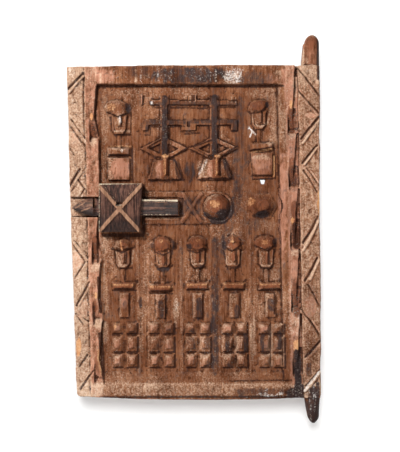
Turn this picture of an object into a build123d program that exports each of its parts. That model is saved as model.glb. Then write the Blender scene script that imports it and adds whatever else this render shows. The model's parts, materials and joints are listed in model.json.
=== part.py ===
from build123d import *
import os

# Granary door, in millimetres. One hewn plank turns on two pivots cut from its heel edge, and a wooden pin
# lock sits on its carved face. X runs from the free edge, which is negative, to the pivot axis. Y runs from
# the carved face to the back. Z is up. The origin is on the pivot axis, at the foot of the plank. A "level"
# is a height above the plank's flat back.

# Plank
plank_thickness = 36.0
field_depth = 10.0
border_drop = 2.5
foot_bow = 3.6
foot_lift = 3.0
top_bow = 0.5
top_fall = 3.0
corner_radius = 8.0
heel_front_radius = 7.0
heel_back_radius = 10.0

# Pivots, which are the heel edge carried on past the plank
pivot_radius = 13.5
upper_pivot_wall = 42.0
upper_pivot_dome = 15.0
pivot_tip_radius = 3.0
pivot_root = 20.0
pivot_landing = 22.0
dome_shoulder_share = 0.82
dome_shoulder_height_share = 0.56
lower_pivot_wall = 34.0
lower_pivot_dome = 14.0

# Widths across the face, at its top. The frame leans to the heel on its way down.
left_border_width = 32.0
left_strip_width = 22.0
right_band_width = 16.0
rib_width = 15.0
rib_groove = 4.0
right_border_width = 40.5
frame_lean = 12.5
free_edge_lean = 18.0
right_border_lean = 10.0

# Heights up the face
bottom_border = 23.4
sill_slope = 23.4
foot_gap = 7.2
lock_gap_below = 9.0
lock_gap_above = 5.4
crown_gap = 23.0
top_border = 33.6

# Standing figures of the lower row
column_pitch = 66.2
first_column_gap = 40.0
last_column_gap = 22.0
head_shifts = (0.0, 6.0, 3.0, 0.0, -6.0)
leg_block_width = 16.5
leg_gap = 11.0
leg_block_heights = (21.0, 30.0, 19.0)
leg_waists = (1.0, 1.0, 1.0, 0.62, 0.5)
leg_notch = 5.0
hip_gap = 9.0
torso_width = 19.0
torso_height = 45.0
bar_gap = 5.0
bar_width = 44.0
bar_height = 16.5
neck_width = 5.0
neck_height = 23.4
neck_lap = 1.0
face_width = 27.0
face_height = 33.0
jaw_height = 9.0
jaw_share = 0.95
chin_share = 0.5
nose_width = 6.0
cheek_rim = 3.4
cheek_lift = 7.0
cheek_slant = 1.5
cap_width = 40.0
cap_height = 24.0
brow_dip = 5.0
brow_share = 0.35
nose_dip = 9.0
cap_shoulder_share = 0.72
cap_shoulder_height_share = 0.7

# Half figures of the upper row
panel_width = 42.0
panel_height = 43.0
upper_bar_height = 17.5
upper_bar_gap = 1.5
upper_neck_height = 21.6
upper_first_gap = 39.0
upper_last_gap = 30.0
upper_last_lift = 9.0
upper_head_shifts = (0.0, -5.0)

# Masks between the half figures
mask_pitch = 90.0
mask_shift = 2.0
mask_lift = 1.8
mask_face_top = 36.0
mask_face_bottom = 62.0
mask_face_height = 38.0
mask_cheek_width = 44.0
mask_brow = 4.0
post_width = 13.0
post_height = 112.0
upper_bar_drop = 14.0
lower_bar_drop = 50.0
mask_bar_height = 8.0
mask_bar_width = 84.0
bar_end_height = 18.0
bar_end_width = 10.0
diamond_width = 86.0
diamond_height = 42.0
diamond_limb = 8.0
diamond_corner = 14.4
diamond_lap = 2.0

# How far each carving stands out of the field, how deep each cut goes, and their sides' slopes in degrees
cap_rise = 10.5
face_rise = 6.0
cheek_depth = 3.5
neck_rise = 2.5
shoulder_rise = 8.5
body_rise = 4.0
panel_rise = 6.5
mask_rise = 5.0
mask_face_rise = 7.0
band_rise = 2.8
tooth_depth = 9.0
zigzag_depth = 1.8
zigzag_width = 3.2
zigzag_overrun = 1.0
zigzag_end_gap = 1.0
carving_root = 2.0
cut_margin = 10.0
field_slope = 9.0
body_slope = 14.0
shoulder_slope = 24.0
panel_slope = 16.0
face_slope = 8.0
cap_slope = 33.0
mask_face_slope = 10.0

# Saw-tooth ribs
tooth_facet = 36.0
tooth_return = 14.0
tooth_first_drop = 79.0
tooth_last_height = 85.0
right_tooth_wobbles = (0.0, 9.0, 10.0, 7.0, 0.0)
left_tooth_wobbles = (-14.0, -14.0, -14.0, -14.0, -14.0)
tooth_wedge = 6.0
left_tooth_wedge = 7.0
wall_lap = 2.0
groove_lap = 1.0

# Bosses
boss_radius = 24.5
boss_rise = 20.0
boss_crown_radius = 12.0
boss_waist_share = 0.86
boss_waist_height_share = 0.45
boss_ring = 2.5
boss_ring_depth = 1.5
boss_lift = 1.5
crown_shift = 2.0
hex_boss_radius = 28.0
hex_boss_rise = 21.0
hex_boss_crown_radius = 12.0
hex_waist_share = 0.92
hex_waist_height_share = 0.4
hex_boss_gap = 32.0
hex_boss_lift = 3.0

# Lock case
case_width = 77.0
case_foot_width = 72.0
case_height = 86.4
case_edge_rise = 27.0
case_crown_rise = 33.0
case_crown_width = 18.0
case_crown_shift = 1.0
case_crown_drop = 2.0
case_rib_width = 9.0
case_rib_rise = 2.0
case_rib_overrun = 1.05
case_notch_width = 12.0
case_notch_height = 5.0
case_notch_depth = 5.0
tenon_width = 36.0
tenon_height = 14.0
tenon_tail = 22.0
tenon_margin = 5.0
case_seat_clearance = 0.4
mortise_clearance = 0.3

# Bolt
bolt_height = 29.0
bolt_thickness = 14.0
head_height = 32.0
head_length = 45.0
head_point_length = 36.0
head_point_drop = 1.5
point_shoulder_share = 0.4
point_lower_share = 0.62
point_upper_share = 0.72
head_bevel = 5.0
head_bevel_slope = 50.0
head_slit_gap = 3.0
head_slit_width = 3.0
head_slit_depth = 17.0
tail_step = 2.0
tail_reach = 64.0
bolt_travel = 40.0
bolt_slack = 5.0
bolt_drop = 1.2
stop_clearance = 0.4
bolt_clearance = 0.4
channel_clearance = 2.0

# Tumblers, their chambers and the keyway
tumbler_radius = 2.5
tumbler_pitch = 17.5
tumbler_names = ("tumbler_left", "tumbler_middle", "tumbler_right")
tumbler_bore_clearance = 0.3
tumbler_seat_clearance = 0.25
tumbler_headroom = 3.2
tumbler_chamfer = 0.5
keyway_width = 8.0
keyway_height = 8.0
keyway_end = 6.0
cover_length = 58.0
cover_width = 12.0
cover_thickness = 5.0
cover_clearance = 0.2
cover_chamfer = 0.8

# Wedges behind the leaf
wedge_width = 12.0
wedge_length = 48.0
wedge_thin = 8.0
wedge_thick = 11.0
wedge_clearance = 0.2

# Lock band beside the case, with its crossed panel, and the pull hole
band_height = 57.6
cross_width = 40.0
cross_limb = 8.0
cross_rise = 2.5
pull_hole_width = 12.0
pull_hole_height = 10.0
pull_hole_slope = 75.0
pull_hole_drop = 6.0

# Worked out from the sizes above
field_level = plank_thickness - field_depth
border_level = plank_thickness - border_drop
lower_figure_height = (
    sum(leg_block_heights) + 2 * leg_notch + hip_gap + torso_height
    + bar_gap + bar_height + neck_height + face_height + cap_height
)
foot_z = bottom_border + sill_slope + foot_gap
case_z = foot_z + lower_figure_height + lock_gap_below
case_top = case_z + case_height
upper_foot_z = case_top + lock_gap_above
mask_height = mask_lift + mask_face_height + post_height
field_top = upper_foot_z + mask_height + crown_gap
plank_height = field_top + top_border
field_width = first_column_gap + 4 * column_pitch + last_column_gap
lock_z = case_z + case_height / 2


def lean(z, amount=frame_lean):
    return amount * (1 - z / plank_height)


def border_x(z):
    """Left edge of the right border."""
    return pivot_radius - right_border_width + lean(z, right_border_lean)


def rib_x(z):
    """Right edge of the right rib."""
    return pivot_radius - right_border_width - rib_groove + lean(z)


def right_wall_x(z):
    """Right wall of the field."""
    return rib_x(z) - rib_width - right_band_width


def left_wall_x(z):
    """Left wall of the field."""
    return right_wall_x(z) - field_width


def strip_x(z):
    """Left edge of the left strip."""
    return left_wall_x(z) - left_strip_width


def free_edge_x(z):
    """Free edge of the plank."""
    return strip_x(z) - lean(z) - left_border_width + lean(z, free_edge_lean)


def heel_x(z):
    """Heel edge, which stands upright, so it is the same at every height."""
    return pivot_radius


def column_x(number, z):
    """Centre of a figure of the lower row."""
    return left_wall_x(z) + first_column_gap + number * column_pitch


def level_y(level):
    """Y of a height above the plank's back. The pivot axis is at half the plank's thickness."""
    return plank_thickness / 2 - level


def face_plane(level):
    """Plane parallel to the face, looking out of it, with X across and Z up."""
    return Plane.XZ.offset(level - plank_thickness / 2)


def span_points(left, right, foot, top):
    """Corners of an upright rectangle between two edges and two heights."""
    return ((left, foot), (right, foot), (right, top), (left, top))


def box_points(x, z, width, height):
    """Corners of an upright rectangle that stands on z and is centred on x."""
    return span_points(x - width / 2, x + width / 2, z, z + height)


def block_points(x, z, width, height, waist):
    """An upright rectangle whose sides are drawn in at half its height, to a share of its width."""
    if waist == 1:
        return box_points(x, z, width, height)
    half = width / 2
    return (
        (x - half, z), (x + half, z), (x + waist * half, z + height / 2), (x + half, z + height),
        (x - half, z + height), (x - waist * half, z + height / 2),
    )


def raise_outlines(outlines, rise, taper=0.0, level=field_level):
    """Adds outlines as relief that stands out of a level."""
    with BuildSketch(face_plane(level - carving_root)) as relief:
        for outline in outlines:
            Polygon(*outline, align=None)
    extrude(relief.sketch, amount=rise + carving_root, taper=taper)


def sink_outlines(outlines, depth, level):
    """Cuts outlines down from a level."""
    with BuildSketch(face_plane(level - depth)) as cut:
        for outline in outlines:
            Polygon(*outline, align=None)
    extrude(cut.sketch, amount=plank_thickness, mode=Mode.SUBTRACT)


def cap_outline(x, z):
    """Peaked cap with a brow that dips to the nose. z is the height of its two lower corners."""
    half = cap_width / 2
    return (
        (x - half, z), (x - brow_share * half, z - brow_dip), (x, z - nose_dip),
        (x + brow_share * half, z - brow_dip), (x + half, z),
        (x + cap_shoulder_share * half, z + cap_shoulder_height_share * cap_height), (x, z + cap_height),
        (x - cap_shoulder_share * half, z + cap_shoulder_height_share * cap_height),
    )


def face_outline(x, z):
    """Long face that stands on its chin."""
    half = face_width / 2
    return (
        (x - chin_share * half, z), (x + chin_share * half, z), (x + jaw_share * half, z + jaw_height),
        (x + half, z + face_height), (x - half, z + face_height), (x - jaw_share * half, z + jaw_height),
    )


def cheek_outlines(x, z, width, height):
    """The two hollows beside a nose."""
    nose = nose_width / 2
    rim = width / 2 - cheek_rim
    return tuple(
        ((x + side * nose, z + cheek_lift), (x + side * (rim - cheek_slant), z + cheek_lift),
         (x + side * rim, z + height), (x + side * nose, z + height))
        for side in (-1, 1)
    )


# Places of the figures, up and across the face
torso_z = foot_z + sum(leg_block_heights) + 2 * leg_notch + hip_gap
bar_z = torso_z + torso_height + bar_gap
chin_z = bar_z + bar_height + neck_height
cap_z = chin_z + face_height
columns = range(len(head_shifts))
lower_heads = [(column_x(n, cap_z) + head_shifts[n], chin_z) for n in columns]
upper_figures = [
    (left_wall_x(field_top) + upper_first_gap, upper_foot_z),
    (right_wall_x(field_top) - upper_last_gap, upper_foot_z + upper_last_lift),
]
upper_chin = panel_height + upper_bar_gap + upper_bar_height + upper_neck_height
upper_heads = [(x + shift, z + upper_chin) for (x, z), shift in zip(upper_figures, upper_head_shifts)]
heads = lower_heads + upper_heads
mask_middle_x = (left_wall_x(field_top) + right_wall_x(field_top)) / 2 + mask_shift
mask_xs = (mask_middle_x - mask_pitch / 2, mask_middle_x + mask_pitch / 2)
mask_z = upper_foot_z + mask_lift

# Places of the lock
case_left = left_wall_x(lock_z) + case_seat_clearance
case_right = case_left + case_width
bolt_z = lock_z + bolt_drop
bolt_level = field_level + bolt_clearance
bolt_tip = case_left - bolt_slack - stop_clearance - head_length
bolt_end = case_right + tail_reach
channel_end = bolt_end + bolt_slack + stop_clearance
tenon_x = case_left + case_foot_width / 2
tenon_zs = (case_z + tenon_margin, case_top - tenon_margin - tenon_height)
boss_x = channel_end + cross_width + boss_radius
boss_z = lock_z + boss_lift
hex_boss_x = right_wall_x(lock_z) - hex_boss_gap
hex_boss_z = lock_z + hex_boss_lift
pull_hole_z = upper_foot_z - pull_hole_drop + pull_hole_height / 2
tumbler_level = bolt_level + bolt_thickness / 2
tumbler_xs = [case_left + case_width / 2 + step * tumbler_pitch for step in (-1, 0, 1)]
tumbler_foot = bolt_z + bolt_height / 2 + tumbler_seat_clearance
cover_z = case_top - cover_thickness
tumbler_length = cover_z - tumbler_headroom - tumbler_foot


def raise_necks(heads_above, height):
    """Thin necks between the shoulder bars and the chins."""
    length = height + 2 * neck_lap
    necks = [box_points(x, z - height - neck_lap, neck_width, length) for x, z in heads_above]
    raise_outlines(necks, neck_rise)


def standing_figures():
    """The lower row: legs in three blocks, torso, shoulder bar and neck of each figure."""
    bodies = []
    for n in columns:
        z = foot_z
        for height in leg_block_heights:
            for side in (-1, 1):
                x = column_x(n, z) + side * (leg_gap + leg_block_width) / 2
                bodies.append(block_points(x, z, leg_block_width, height, leg_waists[n]))
            z += height + leg_notch
        bodies.append(box_points(column_x(n, torso_z), torso_z, torso_width, torso_height))
    raise_outlines(bodies, body_rise, taper=body_slope)
    bars = [box_points(column_x(n, bar_z), bar_z, bar_width, bar_height) for n in columns]
    raise_outlines(bars, shoulder_rise, taper=shoulder_slope)
    raise_necks(lower_heads, neck_height)


def half_figures():
    """The two figures of the upper row, whose bodies are plain panels."""
    panels = [box_points(x, z, panel_width, panel_height) for x, z in upper_figures]
    raise_outlines(panels, panel_rise, taper=panel_slope)
    bar_foot = panel_height + upper_bar_gap
    bars = [box_points(x, z + bar_foot, bar_width, upper_bar_height) for x, z in upper_figures]
    raise_outlines(bars, shoulder_rise, taper=shoulder_slope)
    raise_necks(upper_heads, upper_neck_height)


def carved_heads():
    """Faces with hollow cheeks, under peaked caps."""
    raise_outlines([face_outline(x, z) for x, z in heads], face_rise, taper=face_slope)
    cheeks = []
    for x, z in heads:
        cheeks += cheek_outlines(x, z, face_width, face_height)
    sink_outlines(cheeks, cheek_depth, field_level + face_rise)
    raise_outlines([cap_outline(x, z + face_height) for x, z in heads], cap_rise, taper=cap_slope)


def carved_masks():
    """Two masks, each with a face, a diamond and a post that carries two cross bars with turned ends."""
    faces = []
    cheeks = []
    bars = []
    for x in mask_xs:
        post_z = mask_z + mask_face_height
        top_z = post_z + post_height
        faces.append((
            (x - mask_face_bottom / 2, mask_z), (x + mask_face_bottom / 2, mask_z),
            (x + mask_face_top / 2, post_z), (x - mask_face_top / 2, post_z),
        ))
        cheeks += cheek_outlines(x, mask_z, mask_cheek_width, mask_face_height - mask_brow)
        bar_half = mask_bar_width / 2
        for drop, end_z in ((upper_bar_drop, 0), (lower_bar_drop, mask_bar_height - bar_end_height)):
            z = top_z - drop
            bars.append(box_points(x, z, mask_bar_width, mask_bar_height))
            for side in (-1, 1):
                end_x = x + side * (bar_half - bar_end_width / 2)
                bars.append(box_points(end_x, z + end_z, bar_end_width, bar_end_height))
    raise_outlines(faces, mask_face_rise, taper=mask_face_slope)
    sink_outlines(cheeks, cheek_depth, field_level + mask_face_rise)
    with BuildSketch(face_plane(field_level - carving_root)) as frame_work:
        for outline in bars:
            Polygon(*outline, align=None)
        for x in mask_xs:
            middle_z = mask_z + mask_face_height + diamond_height / 2 - diamond_lap
            for corner, limb, mode in ((0, 0, Mode.ADD), (diamond_corner, diamond_limb, Mode.SUBTRACT)):
                half_x = diamond_width / 2 - corner
                half_z = diamond_height / 2 - limb
                Polygon(
                    (x - half_x, middle_z), (x, middle_z + half_z), (x + half_x, middle_z),
                    (x, middle_z - half_z), align=None, mode=mode,
                )
        for x in mask_xs:
            Polygon(*box_points(x, mask_z + mask_face_height, post_width, post_height), align=None)
    extrude(frame_work.sketch, amount=mask_rise + carving_root)


def carved_bosses():
    """A round boss at the end of the lock band, and a six-sided one beside the right wall."""
    with BuildSketch(face_plane(field_level + band_rise - boss_ring_depth)) as ring:
        with Locations((boss_x, boss_z)):
            Circle(boss_radius + boss_ring)
    extrude(ring.sketch, amount=plank_thickness, mode=Mode.SUBTRACT)
    with BuildSketch(face_plane(field_level - carving_root)) as boss_foot:
        with Locations((boss_x, boss_z)):
            Circle(boss_radius)
    with BuildSketch(face_plane(field_level + boss_waist_height_share * boss_rise)) as boss_waist:
        with Locations((boss_x, boss_z)):
            Circle(boss_waist_share * boss_radius)
    with BuildSketch(face_plane(field_level + boss_rise)) as boss_crown:
        with Locations((boss_x - crown_shift, boss_z + crown_shift)):
            Circle(boss_crown_radius)
    loft([boss_foot.sketch, boss_waist.sketch, boss_crown.sketch])
    with BuildSketch(face_plane(field_level - carving_root)) as hex_foot:
        with Locations((hex_boss_x, hex_boss_z)):
            RegularPolygon(hex_boss_radius, 6)
    with BuildSketch(face_plane(field_level + hex_waist_height_share * hex_boss_rise)) as hex_waist:
        with Locations((hex_boss_x, hex_boss_z)):
            RegularPolygon(hex_waist_share * hex_boss_radius, 6)
    with BuildSketch(face_plane(field_level + hex_boss_rise)) as hex_crown:
        with Locations((hex_boss_x - crown_shift, hex_boss_z + crown_shift)):
            RegularPolygon(hex_boss_crown_radius, 6)
    loft([hex_foot.sketch, hex_waist.sketch, hex_crown.sketch], ruled=True)


def lock_band():
    """Raised band from the lock case to the round boss, with a crossed panel past the bolt's channel."""
    start_x = case_left + case_width / 2
    half_z = band_height / 2
    with BuildSketch(face_plane(field_level - carving_root)) as band:
        Polygon(*span_points(start_x, boss_x, lock_z - half_z, lock_z + half_z), align=None)
        with Locations((boss_x, lock_z)):
            Circle(half_z)
    extrude(band.sketch, amount=band_rise + carving_root)
    cross_end = channel_end + cross_width
    foot = cross_limb / 2
    limbs = []
    for side in (-1, 1):
        limbs.append((
            (channel_end, lock_z - side * (half_z - foot)), (channel_end + foot, lock_z - side * half_z),
            (cross_end, lock_z + side * (half_z - foot)), (cross_end - foot, lock_z + side * half_z),
        ))
    raise_outlines(limbs, cross_rise, level=field_level + band_rise)


def tooth_tips(wobbles):
    """Heights at which a rib breaks off, from the top down. Wobbles are the carver's uneven spacing."""
    first = plank_height - tooth_first_drop
    pitch = (first - tooth_last_height) / (len(wobbles) - 1)
    return [first - n * pitch + wobble for n, wobble in enumerate(wobbles)]


def clears_lock(tip):
    """Whether a notch below this tip stays clear of the lock case and the bolt's channel."""
    return abs(tip - tooth_facet / 2 - lock_z) > case_height / 2 + tooth_facet / 2


# Wedge-shaped notches across both ribs: a long facet that faces down, and a short one that faces up
with BuildPart() as tooth_notches:
    left_notches = [(left_wall_x(tip), tip) for tip in tooth_tips(left_tooth_wobbles) if clears_lock(tip)]
    right_notches = [(rib_x(tip), tip) for tip in tooth_tips(right_tooth_wobbles)]
    for x, z in left_notches + right_notches:
        with BuildSketch(Plane.YZ.offset(x - rib_width)) as notch:
            Polygon(
                (level_y(plank_thickness), z), (level_y(plank_thickness - tooth_depth), z - tooth_facet),
                (level_y(plank_thickness), z - tooth_facet - tooth_return),
                (level_y(plank_thickness + cut_margin), z - tooth_facet - tooth_return),
                (level_y(plank_thickness + cut_margin), z), align=None,
            )
        extrude(notch.sketch, amount=rib_width + rib_groove)

# Carvings that stand in the field
with BuildPart() as carvings:
    standing_figures()
    half_figures()
    carved_heads()
    carved_masks()
    lock_band()
    carved_bosses()

# Door leaf
with BuildPart() as door_leaf:
    with BuildSketch(face_plane(0)) as outline:
        with BuildLine() as edge:
            top_left = (free_edge_x(plank_height), plank_height - top_fall)
            foot_left = (free_edge_x(0), foot_lift)
            middle_x = (foot_left[0] - pivot_landing) / 2
            ThreePointArc(top_left, (middle_x, plank_height + top_bow), (-pivot_landing, plank_height))
            Polyline(
                (-pivot_landing, plank_height), (pivot_radius, plank_height), (pivot_radius, 0),
                (-pivot_landing, 0),
            )
            ThreePointArc((-pivot_landing, 0), (middle_x, -foot_bow), foot_left)
            Line(foot_left, top_left)
        make_face()
        fillet(outline.vertices().sort_by(Axis.X)[1], corner_radius)
    extrude(amount=plank_thickness)
    heel_edges = door_leaf.edges().filter_by(Axis.Z).group_by(Axis.X)[-1].sort_by(Axis.Y)
    fillet(heel_edges[0], heel_front_radius)
    heel_edges = door_leaf.edges().filter_by(Axis.Z).group_by(Axis.X)[-1].sort_by(Axis.Y)
    fillet(heel_edges[-1], heel_back_radius)

    # The two borders lie lower than the frame
    below = -cut_margin
    above = plank_height + cut_margin
    far_left = -2 * field_width
    sink_outlines(
        [
            ((far_left, below), (strip_x(below), below), (strip_x(above), above), (far_left, above)),
            ((border_x(below), below), (field_width, below), (field_width, above), (border_x(above), above)),
        ],
        border_drop, plank_thickness,
    )

    # The field, its sloping sill, and the groove beside the right rib
    field_foot = bottom_border + sill_slope
    with BuildSketch(face_plane(plank_thickness)) as field:
        Polygon(
            (left_wall_x(field_foot), field_foot), (right_wall_x(field_foot), field_foot),
            (right_wall_x(field_top), field_top), (left_wall_x(field_top), field_top), align=None,
        )
    extrude(field.sketch, amount=-field_depth, taper=field_slope, mode=Mode.SUBTRACT)
    sill_reach = field_foot + foot_gap / 2
    with BuildSketch(Plane.YZ.offset(left_wall_x(bottom_border))) as sill:
        Polygon(
            (level_y(field_level), sill_reach), (level_y(field_level), field_foot),
            (level_y(plank_thickness), bottom_border), (level_y(plank_thickness), sill_reach), align=None,
        )
    extrude(sill.sketch, amount=field_width, mode=Mode.SUBTRACT)
    wedges = []
    last = above
    for tip in tooth_tips(right_tooth_wobbles):
        wedge_x = rib_x(tip) - tooth_wedge
        wedge_foot = tip - tooth_facet
        wedges.append((
            (rib_x(last), last), (wedge_x, tip), (wedge_x, wedge_foot),
            (border_x(wedge_foot) + groove_lap, wedge_foot), (border_x(last) + groove_lap, last),
        ))
        last = tip - tooth_facet - tooth_return / 2
    last = field_top
    for tip in tooth_tips(left_tooth_wobbles):
        if clears_lock(tip):
            wedges.append((
                (left_wall_x(last) + wall_lap, last), (left_wall_x(last), last),
                (left_wall_x(tip) - left_tooth_wedge, tip), (left_wall_x(tip) + wall_lap, tip - tooth_facet),
            ))
        last = tip - tooth_facet - tooth_return / 2
    sink_outlines(wedges, tooth_depth, plank_thickness)
    add(tooth_notches.part, mode=Mode.SUBTRACT)

    # Zigzag cuts in the borders, each from the outer edge to the frame, as shares of the plank's height
    left_strokes = (
        (0.926, 0.974), (0.868, 0.760), (0.853, 0.778), (0.633, 0.693), (0.612, 0.672), (0.482, 0.431),
        (0.356, 0.413), (0.271, 0.329), (0.259, 0.229), (0.090, 0.127), (0.027, 0.081),
    )
    right_strokes = (
        (0.917, 0.989), (0.862, 0.923), (0.832, 0.763), (0.772, 0.703), (0.624, 0.694), (0.600, 0.670),
        (0.543, 0.464), (0.434, 0.365), (0.286, 0.350), (0.183, 0.260), (0.171, 0.126), (0.075, 0.024),
    )
    borders = ((left_strokes, free_edge_x, strip_x, -1), (right_strokes, heel_x, border_x, 1))
    half = zigzag_width / 2
    with BuildSketch(face_plane(border_level - zigzag_depth)) as zigzags:
        for strokes, outer_edge, inner_edge, way in borders:
            for outer_share, inner_share in strokes:
                outer_z = outer_share * plank_height
                inner_z = inner_share * plank_height
                outer_x = outer_edge(outer_z) + way * zigzag_overrun
                inner_x = inner_edge(inner_z) + way * zigzag_end_gap
                Polygon(
                    (outer_x, outer_z - half), (outer_x, outer_z + half),
                    (inner_x, inner_z + half), (inner_x, inner_z - half), align=None,
                )
    extrude(zigzags.sketch, amount=plank_thickness, mode=Mode.SUBTRACT)

    add(carvings.part)

    # Seat of the lock case, channel of the bolt, mortises of the case's tenons and the pull hole
    channel_half = head_height / 2 + channel_clearance
    seat = span_points(
        case_left - case_seat_clearance, case_right + case_seat_clearance,
        case_z - case_seat_clearance, case_top + case_seat_clearance,
    )
    bolt_path = span_points(bolt_tip - bolt_travel, channel_end, bolt_z - channel_half, bolt_z + channel_half)
    sink_outlines([seat, bolt_path], 0, field_level)
    with BuildSketch(face_plane(-cut_margin)) as through_cuts:
        for z in tenon_zs:
            Polygon(
                *box_points(
                    tenon_x, z - mortise_clearance, tenon_width + 2 * mortise_clearance,
                    tenon_height + 2 * mortise_clearance,
                ),
                align=None,
            )
        with Locations((hex_boss_x, pull_hole_z)):
            Trapezoid(pull_hole_width, pull_hole_height, pull_hole_slope, rotation=180)
    extrude(through_cuts.sketch, amount=plank_thickness + 2 * cut_margin, mode=Mode.SUBTRACT)

    # Pivots
    with BuildSketch(Plane.XZ) as pivot_profiles:
        for root_z, wall, dome, way in (
            (plank_height, upper_pivot_wall, upper_pivot_dome, 1),
            (0, lower_pivot_wall, lower_pivot_dome, -1),
        ):
            with BuildLine():
                root = root_z - way * pivot_root
                shoulder = root_z + way * wall
                tip = shoulder + way * dome
                Polyline((0, tip), (0, root), (pivot_radius, root), (pivot_radius, shoulder))
                bulge_z = shoulder + way * dome_shoulder_height_share * dome
                bulge = (dome_shoulder_share * pivot_radius, bulge_z)
                ThreePointArc((pivot_radius, shoulder), bulge, (pivot_tip_radius, tip))
                Line((pivot_tip_radius, tip), (0, tip))
            make_face()
    revolve(pivot_profiles.sketch, axis=Axis.Z)

door_leaf.part.label = "door_leaf"

# Lock case: a block with a low pyramid on its face, ribbed along both diagonals
case_points = (
    (case_left, case_z), (case_left + case_foot_width, case_z), (case_right, case_top),
    (case_left, case_top),
)
case_middle_x = case_left + case_foot_width / 2 + case_crown_shift
case_middle_z = lock_z - case_crown_drop
crown_foot = case_middle_z - case_crown_width / 2
crown_points = box_points(case_middle_x, crown_foot, case_crown_width, case_crown_width)
edge_level = field_level + case_edge_rise
crown_level = field_level + case_crown_rise


def case_pyramid(drop):
    """The case's block and its pyramid, lowered by drop."""
    with BuildSketch(face_plane(field_level)) as foot:
        Polygon(*case_points, align=None)
    extrude(foot.sketch, amount=case_edge_rise - drop)
    with BuildSketch(face_plane(edge_level - drop)) as brim:
        Polygon(*case_points, align=None)
    with BuildSketch(face_plane(crown_level - drop)) as crown:
        Polygon(*crown_points, align=None)
    loft([brim.sketch, crown.sketch], ruled=True)


with BuildPart() as case_ribs:
    case_pyramid(0)
    with BuildSketch(face_plane(field_level)) as ribs:
        Polygon(*crown_points, align=None)
        middle = Vector(case_middle_x, case_middle_z)
        for corner in case_points:
            run = Vector(*corner) - middle
            side = Vector(-run.Y, run.X).normalized() * case_rib_width / 2
            tip = middle + run * case_rib_overrun
            rib = (middle + side, middle - side, tip - side, tip + side)
            Polygon(*[tuple(point)[:2] for point in rib], align=None)
    extrude(ribs.sketch, amount=case_crown_rise + cut_margin, mode=Mode.INTERSECT)

with BuildPart() as lock_case:
    case_pyramid(case_rib_rise)
    add(case_ribs.part)
    # Tenons that pass through the leaf
    with BuildSketch(face_plane(field_level + carving_root)) as tenons:
        for z in tenon_zs:
            Polygon(*box_points(tenon_x, z, tenon_width, tenon_height), align=None)
    extrude(tenons.sketch, amount=-(field_level + carving_root + tenon_tail))
    # Channel of the bolt, open at the back
    with BuildSketch(face_plane(field_level)) as channel:
        channel_foot = bolt_z - bolt_height / 2 - bolt_clearance
        channel_top = bolt_z + bolt_height / 2 + bolt_clearance
        passage = span_points(case_left - cut_margin, case_right + cut_margin, channel_foot, channel_top)
        Polygon(*passage, align=None)
    extrude(channel.sketch, amount=bolt_thickness + 2 * bolt_clearance, mode=Mode.SUBTRACT)
    # Chambers of the tumblers, and the groove that their cover lies in
    with BuildSketch(Plane.XY.offset(bolt_z)) as chambers:
        with Locations(*[(x, level_y(tumbler_level)) for x in tumbler_xs]):
            Circle(tumbler_radius + tumbler_bore_clearance)
    extrude(chambers.sketch, amount=case_height, mode=Mode.SUBTRACT)
    with BuildSketch(Plane.XY.offset(cover_z)) as cover_groove:
        with Locations((case_left + case_width / 2, level_y(tumbler_level))):
            Rectangle(cover_length + 2 * cover_clearance, cover_width + 2 * cover_clearance)
    extrude(cover_groove.sketch, amount=2 * cover_thickness, mode=Mode.SUBTRACT)
    # Slots of the wedges, whose inner side is the leaf's back
    with BuildSketch(Plane.YZ.offset(tenon_x - wedge_width / 2 - wedge_clearance)) as wedge_slots:
        for z in tenon_zs:
            foot = z + tenon_height / 2 - wedge_length / 2
            top = foot + wedge_length
            Polygon(
                (level_y(carving_root), foot), (level_y(-wedge_thin) + wedge_clearance, foot),
                (level_y(-wedge_thick) + wedge_clearance, top), (level_y(carving_root), top), align=None,
            )
    extrude(wedge_slots.sketch, amount=wedge_width + 2 * wedge_clearance, mode=Mode.SUBTRACT)
    # Notch under the top rib
    with BuildSketch(face_plane(crown_level - case_rib_rise - case_notch_depth)) as case_notch:
        with Locations((case_middle_x, case_middle_z + case_crown_width / 2)):
            Rectangle(case_notch_width, case_notch_height)
    extrude(case_notch.sketch, amount=plank_thickness, mode=Mode.SUBTRACT)

lock_case.part.label = "lock_case"

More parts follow.
